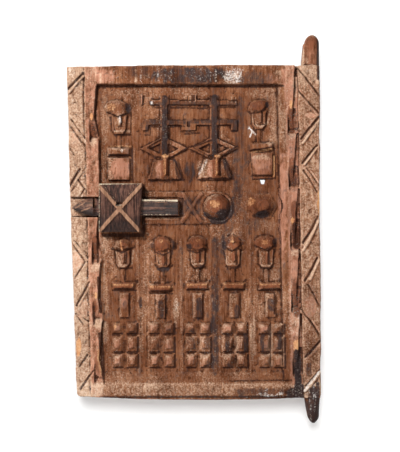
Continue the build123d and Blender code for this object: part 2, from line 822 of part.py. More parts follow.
# Bolt: a pointed head, a body that runs in the case, and a thicker tail that stops it at full throw
with BuildPart() as lock_bolt:
    body_start = bolt_tip + head_length
    tail_start = case_right + bolt_travel + stop_clearance
    bolt_foot = bolt_z - bolt_height / 2
    bolt_top = bolt_z + bolt_height / 2
    with BuildSketch(face_plane(bolt_level)) as body:
        Polygon(*span_points(body_start, bolt_end, bolt_foot, bolt_top), align=None)
    extrude(body.sketch, amount=bolt_thickness)
    with BuildSketch(face_plane(bolt_level)) as tail:
        Polygon(*span_points(tail_start, bolt_end, bolt_foot, bolt_top), align=None)
    extrude(tail.sketch, amount=bolt_thickness + tail_step)
    half = head_height / 2
    point_shoulder_x = bolt_tip + point_shoulder_share * head_point_length
    head_points = (
        (bolt_tip, bolt_z - head_point_drop), (point_shoulder_x, bolt_z - point_lower_share * half),
        (bolt_tip + head_point_length, bolt_z - half), (body_start, bolt_z - half),
        (body_start, bolt_z + half), (bolt_tip + head_point_length, bolt_z + half),
        (point_shoulder_x, bolt_z + point_upper_share * half),
    )
    with BuildSketch(face_plane(bolt_level)) as head:
        Polygon(*head_points, align=None)
    extrude(head.sketch, amount=bolt_thickness + tail_step - head_bevel)
    with BuildSketch(face_plane(bolt_level + bolt_thickness + tail_step - head_bevel)) as head_face:
        Polygon(*head_points, align=None)
    extrude(head_face.sketch, amount=head_bevel, taper=head_bevel_slope)
    slit_end = body_start - head_slit_gap
    slit_foot = bolt_z + half - head_slit_depth
    slit_points = span_points(slit_end - head_slit_width, slit_end, slit_foot, slit_foot + head_height)
    with BuildSketch(face_plane(bolt_level)) as slit:
        Polygon(*slit_points, align=None)
    extrude(slit.sketch, amount=2 * bolt_thickness, mode=Mode.SUBTRACT)
    # Keyway, open at the tail, and the tumblers' holes above it, which come under the pins at full throw
    with BuildSketch(Plane.YZ.offset(bolt_end)) as keyway:
        with Locations((level_y(tumbler_level), bolt_z)):
            Rectangle(keyway_width, keyway_height)
    keyway_start = tumbler_xs[0] + bolt_travel - keyway_end
    extrude(keyway.sketch, amount=keyway_start - bolt_end, mode=Mode.SUBTRACT)
    with BuildSketch(Plane.XY.offset(bolt_z)) as pin_holes:
        with Locations(*[(x + bolt_travel, level_y(tumbler_level)) for x in tumbler_xs]):
            Circle(tumbler_radius + tumbler_bore_clearance)
    extrude(pin_holes.sketch, amount=bolt_height, mode=Mode.SUBTRACT)

lock_bolt.part.label = "lock_bolt"

# Cover of the tumbler chambers
with BuildPart() as chamber_cover:
    with BuildSketch(Plane.XY.offset(cover_z)) as slip:
        with Locations((case_left + case_width / 2, level_y(tumbler_level))):
            Rectangle(cover_length, cover_width)
    extrude(amount=cover_thickness)
    chamfer(chamber_cover.faces().sort_by(Axis.Z)[-1].edges(), cover_chamfer)

chamber_cover.part.label = "chamber_cover"


def make_tumbler(x):
    """Loose iron pin that stands on the bolt."""
    with BuildPart() as pin:
        with BuildSketch(Plane.XY.offset(tumbler_foot)):
            with Locations((x, level_y(tumbler_level))):
                Circle(tumbler_radius)
        extrude(amount=tumbler_length)
        chamfer(pin.edges().filter_by(GeomType.CIRCLE), tumbler_chamfer)
    return pin.part


def make_wedge(z):
    """Tapered key through a tenon, flat against the leaf's back. z is the tenon's lower side."""
    foot = z + tenon_height / 2 - wedge_length / 2
    top = foot + wedge_length
    with BuildPart() as wedge:
        with BuildSketch(Plane.YZ.offset(tenon_x - wedge_width / 2)):
            Polygon(
                (level_y(0), foot), (level_y(-wedge_thin), foot), (level_y(-wedge_thick), top),
                (level_y(0), top), align=None,
            )
        extrude(amount=wedge_width)
    return wedge.part


# Writing the pieces
os.makedirs("parts", exist_ok=True)
for piece in (door_leaf.part, lock_case.part, lock_bolt.part, chamber_cover.part):
    export_step(piece, f"parts/{piece.label}.step")
for name, x in zip(tumbler_names, tumbler_xs):
    tumbler = make_tumbler(x)
    tumbler.label = name
    export_step(tumbler, f"parts/{name}.step")
for name, z in zip(("lower_wedge", "upper_wedge"), tenon_zs):
    key = make_wedge(z)
    key.label = name
    export_step(key, f"parts/{name}.step")
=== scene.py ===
import json
import math
from functools import partial

import bpy
import numpy as np
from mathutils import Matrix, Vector, noise

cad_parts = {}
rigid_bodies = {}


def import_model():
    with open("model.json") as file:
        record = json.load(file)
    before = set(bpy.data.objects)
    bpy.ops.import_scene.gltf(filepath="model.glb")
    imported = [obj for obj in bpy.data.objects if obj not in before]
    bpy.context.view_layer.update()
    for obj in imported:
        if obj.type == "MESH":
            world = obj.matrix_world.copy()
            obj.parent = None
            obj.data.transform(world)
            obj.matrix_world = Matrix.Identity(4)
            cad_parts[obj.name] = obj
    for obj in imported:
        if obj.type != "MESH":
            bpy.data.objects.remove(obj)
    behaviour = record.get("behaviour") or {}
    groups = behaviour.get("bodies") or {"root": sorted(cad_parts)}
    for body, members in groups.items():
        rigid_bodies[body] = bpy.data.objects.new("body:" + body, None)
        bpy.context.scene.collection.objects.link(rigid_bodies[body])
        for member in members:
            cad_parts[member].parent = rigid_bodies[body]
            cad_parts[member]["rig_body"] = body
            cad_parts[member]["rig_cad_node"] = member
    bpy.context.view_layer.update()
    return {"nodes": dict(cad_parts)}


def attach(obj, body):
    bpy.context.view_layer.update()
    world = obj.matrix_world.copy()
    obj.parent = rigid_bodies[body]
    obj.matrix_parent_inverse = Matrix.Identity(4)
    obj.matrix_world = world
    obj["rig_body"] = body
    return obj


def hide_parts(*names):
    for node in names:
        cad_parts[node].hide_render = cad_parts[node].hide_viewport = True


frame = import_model()
print("frame loaded:", ", ".join(sorted(frame["nodes"])))

mm = 0.001
standing = (math.pi / 2, 0, 0)


# small tools of the hand

def deselectAll():
    if bpy.context.object and bpy.context.object.mode != "OBJECT":
        bpy.ops.object.mode_set(mode="OBJECT")
    bpy.ops.object.select_all(action="DESELECT")


def pick(piece):
    deselectAll()
    piece.select_set(True)
    bpy.context.view_layer.objects.active = piece


def bakeTransform():
    bpy.ops.object.transform_apply(location=True, rotation=True, scale=True)


def useModifier(piece, kind, **settings):
    pick(piece)
    modifier = piece.modifiers.new(kind.lower(), kind)
    for name, value in settings.items():
        setattr(modifier, name, value)
    bpy.ops.object.modifier_apply(modifier=modifier.name)


def copyOfNode(nodeName, pieceName):
    # a welded copy: the frame's own mesh is loose triangles
    source = frame["nodes"][nodeName]
    copied = source.copy()
    copied.data = source.data.copy()
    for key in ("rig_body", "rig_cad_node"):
        if key in copied:
            del copied[key]
    copied.parent = None
    copied.name = copied.data.name = pieceName
    copied.data.materials.clear()
    bpy.context.scene.collection.objects.link(copied)
    pick(copied)
    bpy.ops.object.mode_set(mode="EDIT")
    bpy.ops.mesh.select_all(action="SELECT")
    bpy.ops.mesh.remove_doubles(threshold=0.01 * mm)
    bpy.ops.object.mode_set(mode="OBJECT")
    return copied


def remesh(piece, cut):
    useModifier(piece, "REMESH", mode="VOXEL", voxel_size=cut["voxel"] * mm, adaptivity=0.0)
    useModifier(piece, "SMOOTH", factor=0.5, iterations=cut["smoothing"])


def readRows(items, field, width=3, kind=np.float32):
    flat = np.empty(len(items) * width, kind)
    items.foreach_get(field, flat)
    return flat.reshape(-1, width)


def surfaceOf(piece):
    # the places and the normals of the vertices
    vertices = piece.data.vertices
    return readRows(vertices, "co").astype(float), readRows(vertices, "normal").astype(float)


def setPoints(piece, points):
    piece.data.vertices.foreach_set("co", points.astype(np.float32).ravel())
    piece.data.update()


def noiseAt(points, size, seed):
    # smooth noise, about -1 to 1, with lumps of the given size in metres
    places = (points / size + seed).tolist()
    return np.array([noise.noise(place) for place in places])


def facetsAt(points, size, seed):
    # each cell is one stroke of the adze, tilted its own way
    cellSpread = 7.31
    heights = []
    for place in (points / size + seed).tolist():
        middle = noise.voronoi(place)[1][0]
        tilt = noise.cell_vector(middle * cellSpread)
        heights.append(sum((a - b) * (t - 0.5) for a, b, t in zip(place, middle, tilt)))
    return np.array(heights) * 2


def hewnBy(points, strokes, **shares):
    # strokes: a noise, its depth and size in mm, how it is stretched, its seed
    lift = 0
    for name, (surface, depth, size, run, seed) in strokes.items():
        lift += depth * shares.get(name, 1) * surface(points * run, size * mm, seed)
    return lift


def smoothStep(values, low, high):
    share = np.clip((values - low) / (high - low), 0, 1)
    return share * share * (3 - 2 * share)


def spreadOut(values, edges, rounds):
    # each round is the mean of a vertex and its neighbours
    count = len(values)
    starts = np.concatenate((edges[:, 0], edges[:, 1]))
    ends = np.concatenate((edges[:, 1], edges[:, 0]))
    degree = np.bincount(starts, minlength=count) + 1
    columns = values.reshape(count, -1).T
    for _ in range(rounds):
        columns = [
            (np.bincount(starts, weights=column[ends], minlength=count) + column) / degree
            for column in columns
        ]
    return np.array(columns).T.reshape(values.shape)


def hollowAt(points, normals, edges, rounds, depth):
    # 1 in a hollow of the given depth, -1 on a ridge
    level = spreadOut(points, edges, rounds)
    return np.clip(((level - points) * normals).sum(axis=1) / depth, -1, 1)


# marks and forms on the face are placed in mm to the left of the pivot axis and mm up

def offsets(points, mark):
    # across and up from the mark's middle, in its half widths and half heights
    left, z, halfWidth, halfHeight = mark[:4]
    return (points[:, 0] + left * mm) / (halfWidth * mm), (points[:, 2] - z * mm) / (halfHeight * mm)


def within(points, mark, widening=0):
    across, up = offsets(points, mark)
    return (abs(across) < 1 + widening * up) & (abs(up) < 1)


# half widths at which a mark starts to fade and has gone
markRims = {"stroke": (0.55, 1.25), "spot": (0.6, 1.2)}


def markAt(points, mark, wobble=0):
    # 1 on a spot (left, z, half width, half height) or a stroke (left, z, left, z, half width)
    if len(mark) == 4:
        return 1 - smoothStep(np.hypot(*offsets(points, mark)) + wobble, *markRims["spot"])
    start, end = (np.array((-mark[n], mark[n + 1])) * mm for n in (0, 2))
    along = end - start
    face = points[:, (0, 2)] - start
    share = np.clip(face @ along / float(along @ along), 0, 1)
    away = np.linalg.norm(face - share[:, None] * along, axis=1) / (mark[4] * mm)
    return 1 - smoothStep(away + 0.5 * wobble, *markRims["stroke"])


def strongest(points, marks, wobble=0):
    value = np.zeros(len(points))
    for strength, places in marks:
        for mark in places:
            value = np.maximum(value, strength * markAt(points, mark, wobble))
    return value


def paint(piece, name, values):
    layer = piece.data.attributes.new(name, "FLOAT", "POINT")
    layer.data.foreach_set("value", np.clip(values, 0, 1).astype(np.float32))


def srgb(code):
    # sRGB hex to a linear colour
    parts = [int(code[n:n + 2], 16) / 255 for n in (1, 3, 5)]
    return tuple(p / 12.92 if p <= 0.04045 else ((p + 0.055) / 1.055) ** 2.4 for p in parts) + (1.0,)


def addNode(tree, kind, sockets=(), **settings):
    # a node given as a value stands for its first output
    made = tree.nodes.new("ShaderNode" + kind)
    for name, value in settings.items():
        setattr(made, name, value)
    for key, value in dict(sockets).items():
        if isinstance(value, bpy.types.Node):
            value = value.outputs[0]
        if isinstance(value, bpy.types.NodeSocket):
            tree.links.new(value, made.inputs[key])
        else:
            made.inputs[key].default_value = value
    return made


def emptyTree(owner):
    # gives what adds a node to the owner's own, cleared tree
    owner.use_nodes = True
    owner.node_tree.nodes.clear()
    return partial(addNode, owner.node_tree)


# camera, lamps and paper

studio = {
    "middle": (-0.2, 0, 0.3),
    "cameraPlace": (-0.2025, -1.939, 0.3096), "lens": 85, "sensor": 36,
    "keyPlace": (-1.2, -1.95, 1.42), "keySize": 0.26, "keyPower": 65,
    "fillPlace": (1.5, -2.0, 0.5), "fillSize": 1.6, "fillPower": 2.7,
    "rearPlace": (-0.9, 2.2, 1.5), "rearSize": 1.5, "rearPower": 30,
    "paperPlace": (-0.33, -2.26, 1.34), "paperSize": 1.5, "paperPower": 84,
    "worldStrength": 0.115, "worldColour": "#f1f5fc", "paperColour": "#fbfbfa",
    "wallPlace": (-0.2, 0.0425, 0.87), "wallSize": (3.4, 2.0), "wallGlow": 0.15,
    "floorPlace": (-0.2, 0, -0.13), "floorSize": (8, 8), "floorGlow": 0.75,
    "cardPlace": (-0.0886, 0.042, 0.3887), "cardSize": (0.016, 0.016), "cardGlow": 1.0,
}

bpy.context.scene.view_settings.view_transform = "Standard"
deselectAll()
bpy.ops.object.camera_add(location=studio["cameraPlace"], rotation=standing)
camera = bpy.context.object
camera.data.lens = studio["lens"]
camera.data.sensor_width = studio["sensor"]
bpy.context.scene.camera = camera

for name in ("key", "fill", "rear", "paper"):
    aim = Vector(studio["middle"]) - Vector(studio[name + "Place"])
    turn = aim.to_track_quat("-Z", "Y").to_euler()
    bpy.ops.object.light_add(type="AREA", location=studio[name + "Place"], rotation=turn)
    lamp = bpy.context.object
    lamp.name = name + "Lamp"
    lamp.data.shape = "DISK"
    lamp.data.size = studio[name + "Size"]
    lamp.data.energy = studio[name + "Power"]


def seenRays(add):
    # 1 for rays from the eye, 0 for the light that falls on things
    rays = add("LightPath")
    seen = rays.outputs["Is Camera Ray"]
    for kind in ("Is Glossy Ray", "Is Transmission Ray"):
        seen = add("Math", {0: seen, 1: rays.outputs[kind]}, operation="MAXIMUM")
    return seen


world = bpy.data.worlds.new("softStudio")
bpy.context.scene.world = world
add = emptyTree(world)
soft = {"Color": srgb(studio["worldColour"]), "Strength": studio["worldStrength"]}
softLight = add("Background", soft)
white = add("Background", {"Color": (1, 1, 1, 1), "Strength": 1.0})
mixed = add("MixShader", {0: seenRays(add), 1: softLight, 2: white})
add("OutputWorld", {"Surface": mixed})


def paperSheet(name, materialName, upright):
    # matt white paper that shows only the soft shadow; upright, it is clear from behind
    deselectAll()
    turn = standing if upright else (0, 0, 0)
    bpy.ops.mesh.primitive_plane_add(size=1, location=studio[name + "Place"], rotation=turn)
    sheet = bpy.context.object
    sheet.name = name
    sheet.scale = (*studio[name + "Size"], 1)
    bakeTransform()
    sheet.visible_shadow = not upright
    material = bpy.data.materials.new(materialName)
    add = emptyTree(material)
    share = add("Math", {0: seenRays(add), 1: studio[name + "Glow"]}, operation="MULTIPLY")
    matt = add("BsdfDiffuse", {"Color": srgb(studio["paperColour"])})
    glow = add("Emission", {"Color": (1, 1, 1, 1), "Strength": 1.0})
    shown = add("MixShader", {0: share, 1: matt, 2: glow})
    if upright:
        back = add("NewGeometry").outputs["Backfacing"]
        shown = add("MixShader", {0: back, 1: shown, 2: add("BsdfTransparent")})
    add("OutputMaterial", {"Surface": shown})
    sheet.data.materials.append(material)
    return sheet


wall = paperSheet("wall", "whitePaperWall", True)
wall.visible_diffuse = False
floor = paperSheet("floor", "whitePaperFloor", False)
# a card that glows white behind the pull hole: painted light in the door's shadow
card = paperSheet("card", "glowingWhiteCard", True)

# the paper lamp lights only the paper, the key and the fill all but the paper
for name, state in (("key", "EXCLUDE"), ("fill", "EXCLUDE"), ("paper", "INCLUDE")):
    group = bpy.data.collections.new(name + "LampLinks")
    group.objects.link(wall)
    group.objects.link(floor)
    for entry in group.collection_objects:
        entry.light_linking.link_state = state
    bpy.data.objects[name + "Lamp"].light_linking.receiver_collection = group
print("studio ready")


# materials

woodBase = {
    "grain": {"Detail": 4.0, "Roughness": 0.62},
    "lump": {"Detail": 3.0},
    "mottle": {"Detail": 6.0, "Roughness": 0.68},
    "speck": {"Detail": 3.0, "Roughness": 0.7},
    "spread": {1: 0.32, 2: 0.68},
    "relief": {"grain": 0.6, "mottle": 0.8, "speck": 0.25},
}


def carvedWood(name, look):
    # Old adzed hardwood: dull fibres, pale dust, red-brown polish on ridges, raw orange chips, and painted
    # shade and painted highlights laid on by its attributes.
    # Grain is drawn at 2 to 3 mm, coarser than the real pores, so that it shows.
    material = bpy.data.materials.new(name)
    add = emptyTree(material)
    place = add("TexCoord").outputs["Object"]
    stretched = add("VectorMath", {0: place, 1: look["grainScale"]}, operation="MULTIPLY")
    upright = add("VectorMath", {0: place, 1: (1, 1, look["mottleRun"])}, operation="MULTIPLY")
    sources = {"grain": (stretched, 1.0)}
    for kind, vector in (("lump", upright), ("mottle", upright), ("speck", place)):
        sources[kind] = vector, 1 / (look[kind + "Size"] * mm)
    tones = {}
    for kind, (vector, scale) in sources.items():
        raw = add("TexNoise", {"Vector": vector, "Scale": scale, **woodBase[kind]})
        tones[kind] = add("MapRange", {0: raw, **woodBase["spread"]})

    figure = height = 0.0
    shares = {"grain": look["grainShare"], "mottle": 1 - look["grainShare"], "lump": look["lumpShare"]}
    for kind, share in shares.items():
        figure = add("Math", {0: tones[kind], 1: share, 2: figure}, operation="MULTIPLY_ADD")
    figure = add("MapRange", {0: figure, 1: 0.2, 2: 0.8 + look["lumpShare"]})
    for kind, share in woodBase["relief"].items():
        height = add("Math", {0: tones[kind], 1: share, 2: height}, operation="MULTIPLY_ADD")
    wood = add("ValToRGB", {0: figure})
    stops = wood.color_ramp.elements
    stops[0].position, stops[0].color = 0.15, srgb(look["dark"])
    stops[1].position, stops[1].color = 0.85, srgb(look["light"])
    stops.new(0.5).color = srgb(look["middle"])
    colour, rough = wood.outputs[0], look["roughness"]

    # each layer covers the ones before it where its attribute, frayed by a noise, is high
    for attribute, (rim, ragged, start, full, most, dark, light, roughness) in look["layers"].items():
        amount = add("Attribute", attribute_name=attribute).outputs["Fac"]
        fray = add("Math", {0: tones[rim], 1: 0.5}, operation="SUBTRACT")
        amount = add("Math", {0: fray, 1: ragged, 2: amount}, operation="MULTIPLY_ADD")
        reach = {0: amount, 1: start, 2: full, 3: 0.0, 4: most}
        amount = add("MapRange", reach, interpolation_type="SMOOTHSTEP")
        shade = add("Mix", {0: figure, 6: srgb(dark), 7: srgb(light)}, data_type="RGBA").outputs[2]
        colour = add("Mix", {0: amount, 6: colour, 7: shade}, data_type="RGBA").outputs[2]
        rough = add("Mix", {0: amount, 2: rough, 3: roughness}, data_type="FLOAT")

    relief = {"Height": height, "Strength": look["bump"], "Distance": look["bumpDepth"] * mm}
    surface = add("BsdfPrincipled", {
        "Base Color": colour, "Roughness": rough, "Normal": add("Bump", relief), "IOR": 1.5,
        "Specular IOR Level": look["specular"],
    })
    add("OutputMaterial", {"Surface": surface})
    return material


leafLook = {
    "grainScale": (430, 430, 30), "grainShare": 0.42, "lumpShare": 0.4, "mottleRun": 0.5,
    "lumpSize": 34, "mottleSize": 7, "speckSize": 2.8,
    "dark": "#542f1b", "middle": "#78482e", "light": "#996747",
    "roughness": 0.7, "specular": 0.06, "bump": 0.9, "bumpDepth": 1.0,
    "layers": {
        "red": ("mottle", 0.6, 0.15, 1.0, 0.85, "#9f664c", "#db9f84", 0.6),
        "pale": ("speck", 0.78, 0.15, 1.25, 0.85, "#c09577", "#f1d4b7", 0.9),
        "polish": ("mottle", 0.5, 0.2, 0.9, 0.9, "#522a19", "#965739", 0.4),
        # painted shade: dark in hollows and grooves, on faces turned down and right, and as painted shadow
        # lines under and beside the forms
        "hollow": ("speck", 0.5, 0.1, 0.8, 0.92, "#1b0d08", "#45281d", 0.85),
        # soot and grime, with painted shade on the lower right of bosses, caps, noses and leg blocks, in the
        # rib pockets and along the bolt
        "sootAndShade": ("mottle", 0.8, 0.2, 1.0, 0.97, "#120c0d", "#463836", 0.55),
        # worn chips and rubbed ridges, with painted highlights on the upper left of caps and noses and along
        # the bolt's top edges
        "wearAndHighlight": ("speck", 0.35, 0.35, 0.85, 0.9, "#b96d3d", "#f1c28e", 0.5),
        # lime and dust; on the lock, painted highlights on top faces and lit edges
        "chalkAndHighlight": ("speck", 0.8, 0.3, 1.05, 0.88, "#e8cdb1", "#f1f1f1", 0.95),
    },
}

caseLook = {
    "grainScale": (330, 330, 17), "grainShare": 0.7, "lumpShare": 0.2, "mottleRun": 0.7,
    "lumpSize": 25, "mottleSize": 8, "speckSize": 2.6,
    "dark": "#190c08", "middle": "#3f241a", "light": "#765040",
    "roughness": 0.45, "specular": 0.16, "bump": 0.9, "bumpDepth": 1.2,
    # on the lock, soot also carries painted shade, and wear and chalk carry painted highlights
    "layers": {
        "sootAndShade": ("grain", 0.6, 0.1, 1.1, 0.92, "#0d0707", "#3a2721", 0.4),
        "wearAndHighlight": ("mottle", 0.4, 0.25, 0.85, 0.85, "#7a533b", "#ba8f71", 0.5),
        "chalkAndHighlight": ("speck", 0.8, 0.3, 0.9, 0.8, "#c6a68a", "#f1e5c7", 0.9),
    },
}

boltLook = dict(caseLook, grainScale=(17, 380, 380), roughness=0.35, specular=0.3)

leafWood = carvedWood("adzedAcaciaWood", leafLook)
caseWood = carvedWood("smokedOiledWood", caseLook)
boltWood = carvedWood("handPolishedWood", boltLook)

ironLook = {
    "scale": {"Scale": 700.0, "Detail": 5.0}, "dark": "#2d2724", "rust": "#6b4630",
    "bump": {"Strength": 0.4, "Distance": 0.3 * mm}, "shine": {"Metallic": 0.7, "Roughness": 0.62},
}


def forgedIron(name, look):
    # Blacksmith's iron pin: dark scale with brown rust, hardly any shine.
    material = bpy.data.materials.new(name)
    add = emptyTree(material)
    place = add("TexCoord").outputs["Object"]
    scale = add("TexNoise", {"Vector": place, **look["scale"]})
    colours = {0: scale, 6: srgb(look["dark"]), 7: srgb(look["rust"])}
    colour = add("Mix", colours, data_type="RGBA").outputs[2]
    bump = add("Bump", {"Height": scale, **look["bump"]})
    surface = add("BsdfPrincipled", {"Base Color": colour, "Normal": bump, **look["shine"]})
    add("OutputMaterial", {"Surface": surface})
    return material


pinIron = forgedIron("forgedIron", ironLook)
print("materials ready")


# the leaf, hewn from one plank

# mm: depths and sizes of the hewing, then the places of what is levelled or bent
leafCut = {
    "voxel": 1.4, "smoothing": 1, "triangles": 194000, "backY": 8,
    "strokes": {
        "wave": (noiseAt, 0.6, 46, (1, 1, 1), 21.4), "adze": (facetsAt, 0.6, 12, (1, 1, 1), 5.5),
        "back": (facetsAt, 1.1, 26, (1, 1, 0.45), 2.5), "fibre": (noiseAt, 0.2, 5, (1, 1, 0.09), 14.2),
        "chisel": (noiseAt, 0.5, 7, (1, 1, 0.5), 44.2),
    },
    "warp": 1.0, "warpSize": 34,
    "footCalm": (-6, 4), "headCalm": (596, 606), "leastCalm": 0.25,
    "lock": (345, 342, 62, 62), "lockCalm": (0.75, 1.15), "leastLockCalm": 0.3,
    "slitFloor": -11, "slitTop": 2, "cheekFloor": -6,
    "wayZ": 343.3, "wayHalf": 17.2, "wayEnd": -232.2,
    "rightBulge": 2.2, "rightEdge": (-14, -4), "rightTop": (240, 330), "rightFoot": (-30, 10),
    "leftBulge": 1.6, "leftEdge": (405, 425), "leftMiddle": 340, "leftSpread": 110,
    "taper": 8.5, "taperHeight": 48, "headLean": 1.5, "headFrom": 640, "headHeight": 16,
    "pegFront": 8, "pegWidth": 21,
}

# the leaning long edges, mm: x at the foot, and how far it moves on the way down
longEdges = {
    "height": 599.1,
    "strip": (-410.8, 12.5), "leftWall": (-388.8, 12.5), "rightWall": (-62, 12.5), "border": (-27, 10),
}
fieldY = -8


def edgeX(name, z):
    foot, lean = longEdges[name]
    return (foot + lean * (1 - z / (longEdges["height"] * mm))) * mm


def selectFacing(piece, direction, least):
    pick(piece)
    bpy.context.tool_settings.mesh_select_mode = (False, False, True)
    for face in piece.data.polygons:
        face.select = face.normal.dot(Vector(direction)) > least
    bpy.ops.object.mode_set(mode="EDIT")


# mm: how deep a form's root is sunk in the field
rootDepth = {"block": 1.5, "ball": 2, "kite": 3}
blockRoot = 5


def setForm(left, y, z, width, depth, height, tilt=0.0):
    form = bpy.context.object
    form.location = (-left * mm, y * mm, z * mm)
    form.scale = (width * mm, depth * mm, height * mm)
    form.rotation_euler = (0, math.radians(tilt), 0)
    bakeTransform()
    return form


def carvedBlock(left, z, width, height, rise, slope, tilt=0.0):
    # its front is drawn in to a narrower crown
    deselectAll()
    bpy.ops.mesh.primitive_cube_add(size=1)
    block = setForm(left, fieldY + rootDepth["block"], z, width, blockRoot, height, tilt)
    selectFacing(block, (0, -1, 0), 0.9)
    bpy.ops.mesh.inset(thickness=min(slope, 0.42 * min(width, height)) * mm, depth=0)
    bpy.ops.transform.translate(value=(0, -(rise - 1) * mm, 0))
    bpy.ops.object.mode_set(mode="OBJECT")
    return block


def carvedBall(left, z, halfWidth, halfHeight, rise, tilt=0.0):
    deselectAll()
    bpy.ops.mesh.primitive_ico_sphere_add(subdivisions=2, radius=1)
    root = rootDepth["ball"]
    return setForm(left, fieldY + root, z, halfWidth, rise + root, halfHeight, tilt)


def carvedKite(left, z, halfWidth, halfHeight, rise):
    # a cap of four flat faces that meet in a low point
    deselectAll()
    bpy.ops.mesh.primitive_cone_add(vertices=4, radius1=1, radius2=0.12, depth=1, rotation=standing)
    bakeTransform()
    depth = rise + rootDepth["kite"]
    return setForm(left, fieldY + rootDepth["kite"] - depth / 2, z, halfWidth, depth, halfHeight)


def carvedRoof(left, z, width, height, rise, tilt=0.0):
    # a nose: a block whose crown is a narrow upright line
    eaves = 1.2
    block = carvedBlock(left, z, width, height, eaves, 0.2, tilt)
    selectFacing(block, (0, -1, 0), 0.9)
    middle = (-left * mm, (fieldY - rise) * mm, z * mm)
    bpy.ops.transform.translate(value=(0, -(rise - eaves) * mm, 0))
    bpy.ops.transform.resize(value=(0.25, 1, 0.8), center_override=middle)
    bpy.ops.object.mode_set(mode="OBJECT")
    return block


# forms: left, z, sizes, rise, tilt in degrees
leafForms = {}
leafForms["balls"] = [
    (270, 276, 17, 16, 14), (208, 278, 18, 15, 13.5), (85, 281, 20, 12, 12.5, -4),
    (98, 526, 19, 12, 12.5, -22), (354, 524, 21, 14, 12.5), (288, 275, 5.4, 8.1, 7), (251, 277, 5, 8.1, 8),
    (262, 540, 3.1, 3.6, 6), (176, 541, 4, 4.3, 6), (107, 349, 14, 15, 12.5), (77, 347, 14, 14, 11.5),
]
leafForms["kites"] = [(342, 273, 20, 13, 13), (144, 282, 20, 18, 14)]
leafForms["roofs"] = [
    (341, 252, 9, 22, 9.5, 2), (268, 248, 8.3, 22, 9.5), (205, 254, 8.3, 22, 9.5), (141, 255, 8.6, 20, 9.5),
    (81, 252, 7.2, 25, 9, 2), (347, 499, 9, 18, 10), (93, 506, 6.8, 23, 9), (264, 416, 11, 36, 13.5, -1),
    (171, 418, 10, 36, 13),
]
leafForms["blocks"] = [
    (223, 531, 14, 7.2, 5, 1.2), (230, 536, 3.6, 14, 5.5, 0.8), (220, 536, 3.6, 14, 6, 0.8),
    (212, 536, 3.6, 14, 5.5, 0.8), (143, 537, 3.2, 11, 5.5, 0.8), (223, 485, 16, 8.1, 5, 1.5),
    (265, 435, 18, 11, 10, 4), (171, 435, 18, 11, 10, 4), (262, 396, 20, 13, 9, 5),
    (274, 173, 14, 16, 5.5, 2.5),
]

# folds of the surface: left, z, left, z, half width, depth or height
leafStrokes = {}
leafStrokes["grooves"] = [
    (413, 585, 441, 556, 2.6, 2.4), (436, 488, 411, 454, 1.8, 1.2), (438, 454, 429, 437, 1.8, 1.3),
    (418, 412, 437, 380, 2.4, 2.2), (420, 392, 410, 376, 1.8, 1.6), (410, 376, 418, 362, 1.8, 1.4),
    (433, 279, 410, 245, 1.9, 1.5), (410, 245, 428, 214, 1.9, 1.5), (402, 209, 425, 166, 2.3, 2.2),
    (426, 151, 413, 133, 1.7, 1.2), (406, 77, 419, 56, 2.3, 2), (394, 49, 418, 16, 2.3, 2.2),
    (26, 594, -11, 545, 2.4, 1.9), (25, 553, -11, 513, 2.4, 2), (-11, 506, 20, 466, 2.5, 2.4),
    (-8.1, 455, 17, 423, 2.5, 2.4), (15, 410, -9.9, 369, 2.2, 1.8), (9.9, 414, -12, 382, 1.4, 1.2),
    (-9.9, 326, 17, 279, 2.5, 2.2), (-7.2, 252, 14, 211, 2.3, 2), (9.9, 205, -12, 162, 1.8, 1.2),
    (19, 160, -13, 108, 2, 1.6), (-14, 104, 13, 74, 2.4, 2.2), (-14, 52, 12, 22, 2, 1.6),
    (292, 430, 282, 392, 1.3, 0.9), (368, 434, 366, 392, 1.3, 0.8), (361, 270, 339, 261, 1.5, 1.5),
]
leafStrokes["bands"] = [
    (414, 579, 440, 549, 2.8, 1.9), (438, 500, 408, 459, 2.8, 1.5), (415, 407, 436, 373, 2.8, 1.8),
    (418, 360, 435, 345, 2.2, 1.2), (433, 286, 406, 248, 2.2, 1.3), (400, 205, 421, 167, 2.4, 1.3),
    (424, 157, 411, 139, 1.8, 1), (21, 592, -12, 553, 2.4, 1.2), (22, 545, -9.9, 508, 2.2, 1),
    (-12, 499, 17, 459, 3, 1.6), (-6.3, 450, 14, 421, 3, 2.2), (4.5, 412, -12, 387, 1.8, 1.2),
    (-11, 319, 16, 266, 3, 1.8), (-11, 248, 5.4, 214, 2.8, 2), (6.3, 207, -12, 171, 2, 1),
    (-14, 47, 14, 13, 3.2, 2.2), (14, 157, -12, 117, 1.8, 0.9), (-14, 97, 8.1, 72, 2.2, 1),
    (410, 558, 409, 461, 2.2, 0.7), (399, 212, 397, 122, 2, 0.7), (28, 558, 26, 464, 2, 0.7),
    (316, 288, 312, 47, 3.5, 0.9), (297, 257, 295, 47, 3, 0.8), (238, 284, 235, 47, 3.5, 0.9),
    (175, 284, 174, 47, 3.2, 0.9), (112, 284, 111, 176, 3.2, 0.8), (112, 176, 112, 47, 3.2, 0.8),
    (235, 366, 202, 320, 3.6, 0.85), (202, 366, 235, 320, 3.6, 0.85), (302, 322, 242, 323, 3, 1),
    (72, 131, 72, 58, 2.6, 1.2), (322, 446, 321, 389, 2, 0.8),
]

# each place below is left, z, half width, half height; here with its shift in x and z
leafNudges = [(305, 493, 13, 25, 4, 0), (274, 200, 31, 13, 0, -3)]

# cut back to a level above the field
leafPressed = [(298, 535, 7.9, 13, 0.3), (226, 541, 14, 5.8, 0.3), (142, 541, 9, 5.8, 0.3)]

# worn to a soft mound or pared to a ridge, with the height that stays at the sides
leafMounds = [(91, 346, 29, 24, 0.25)]
leafRidges = [(264, 414, 14, 22, 0.3), (171, 416, 14, 22, 0.3)]

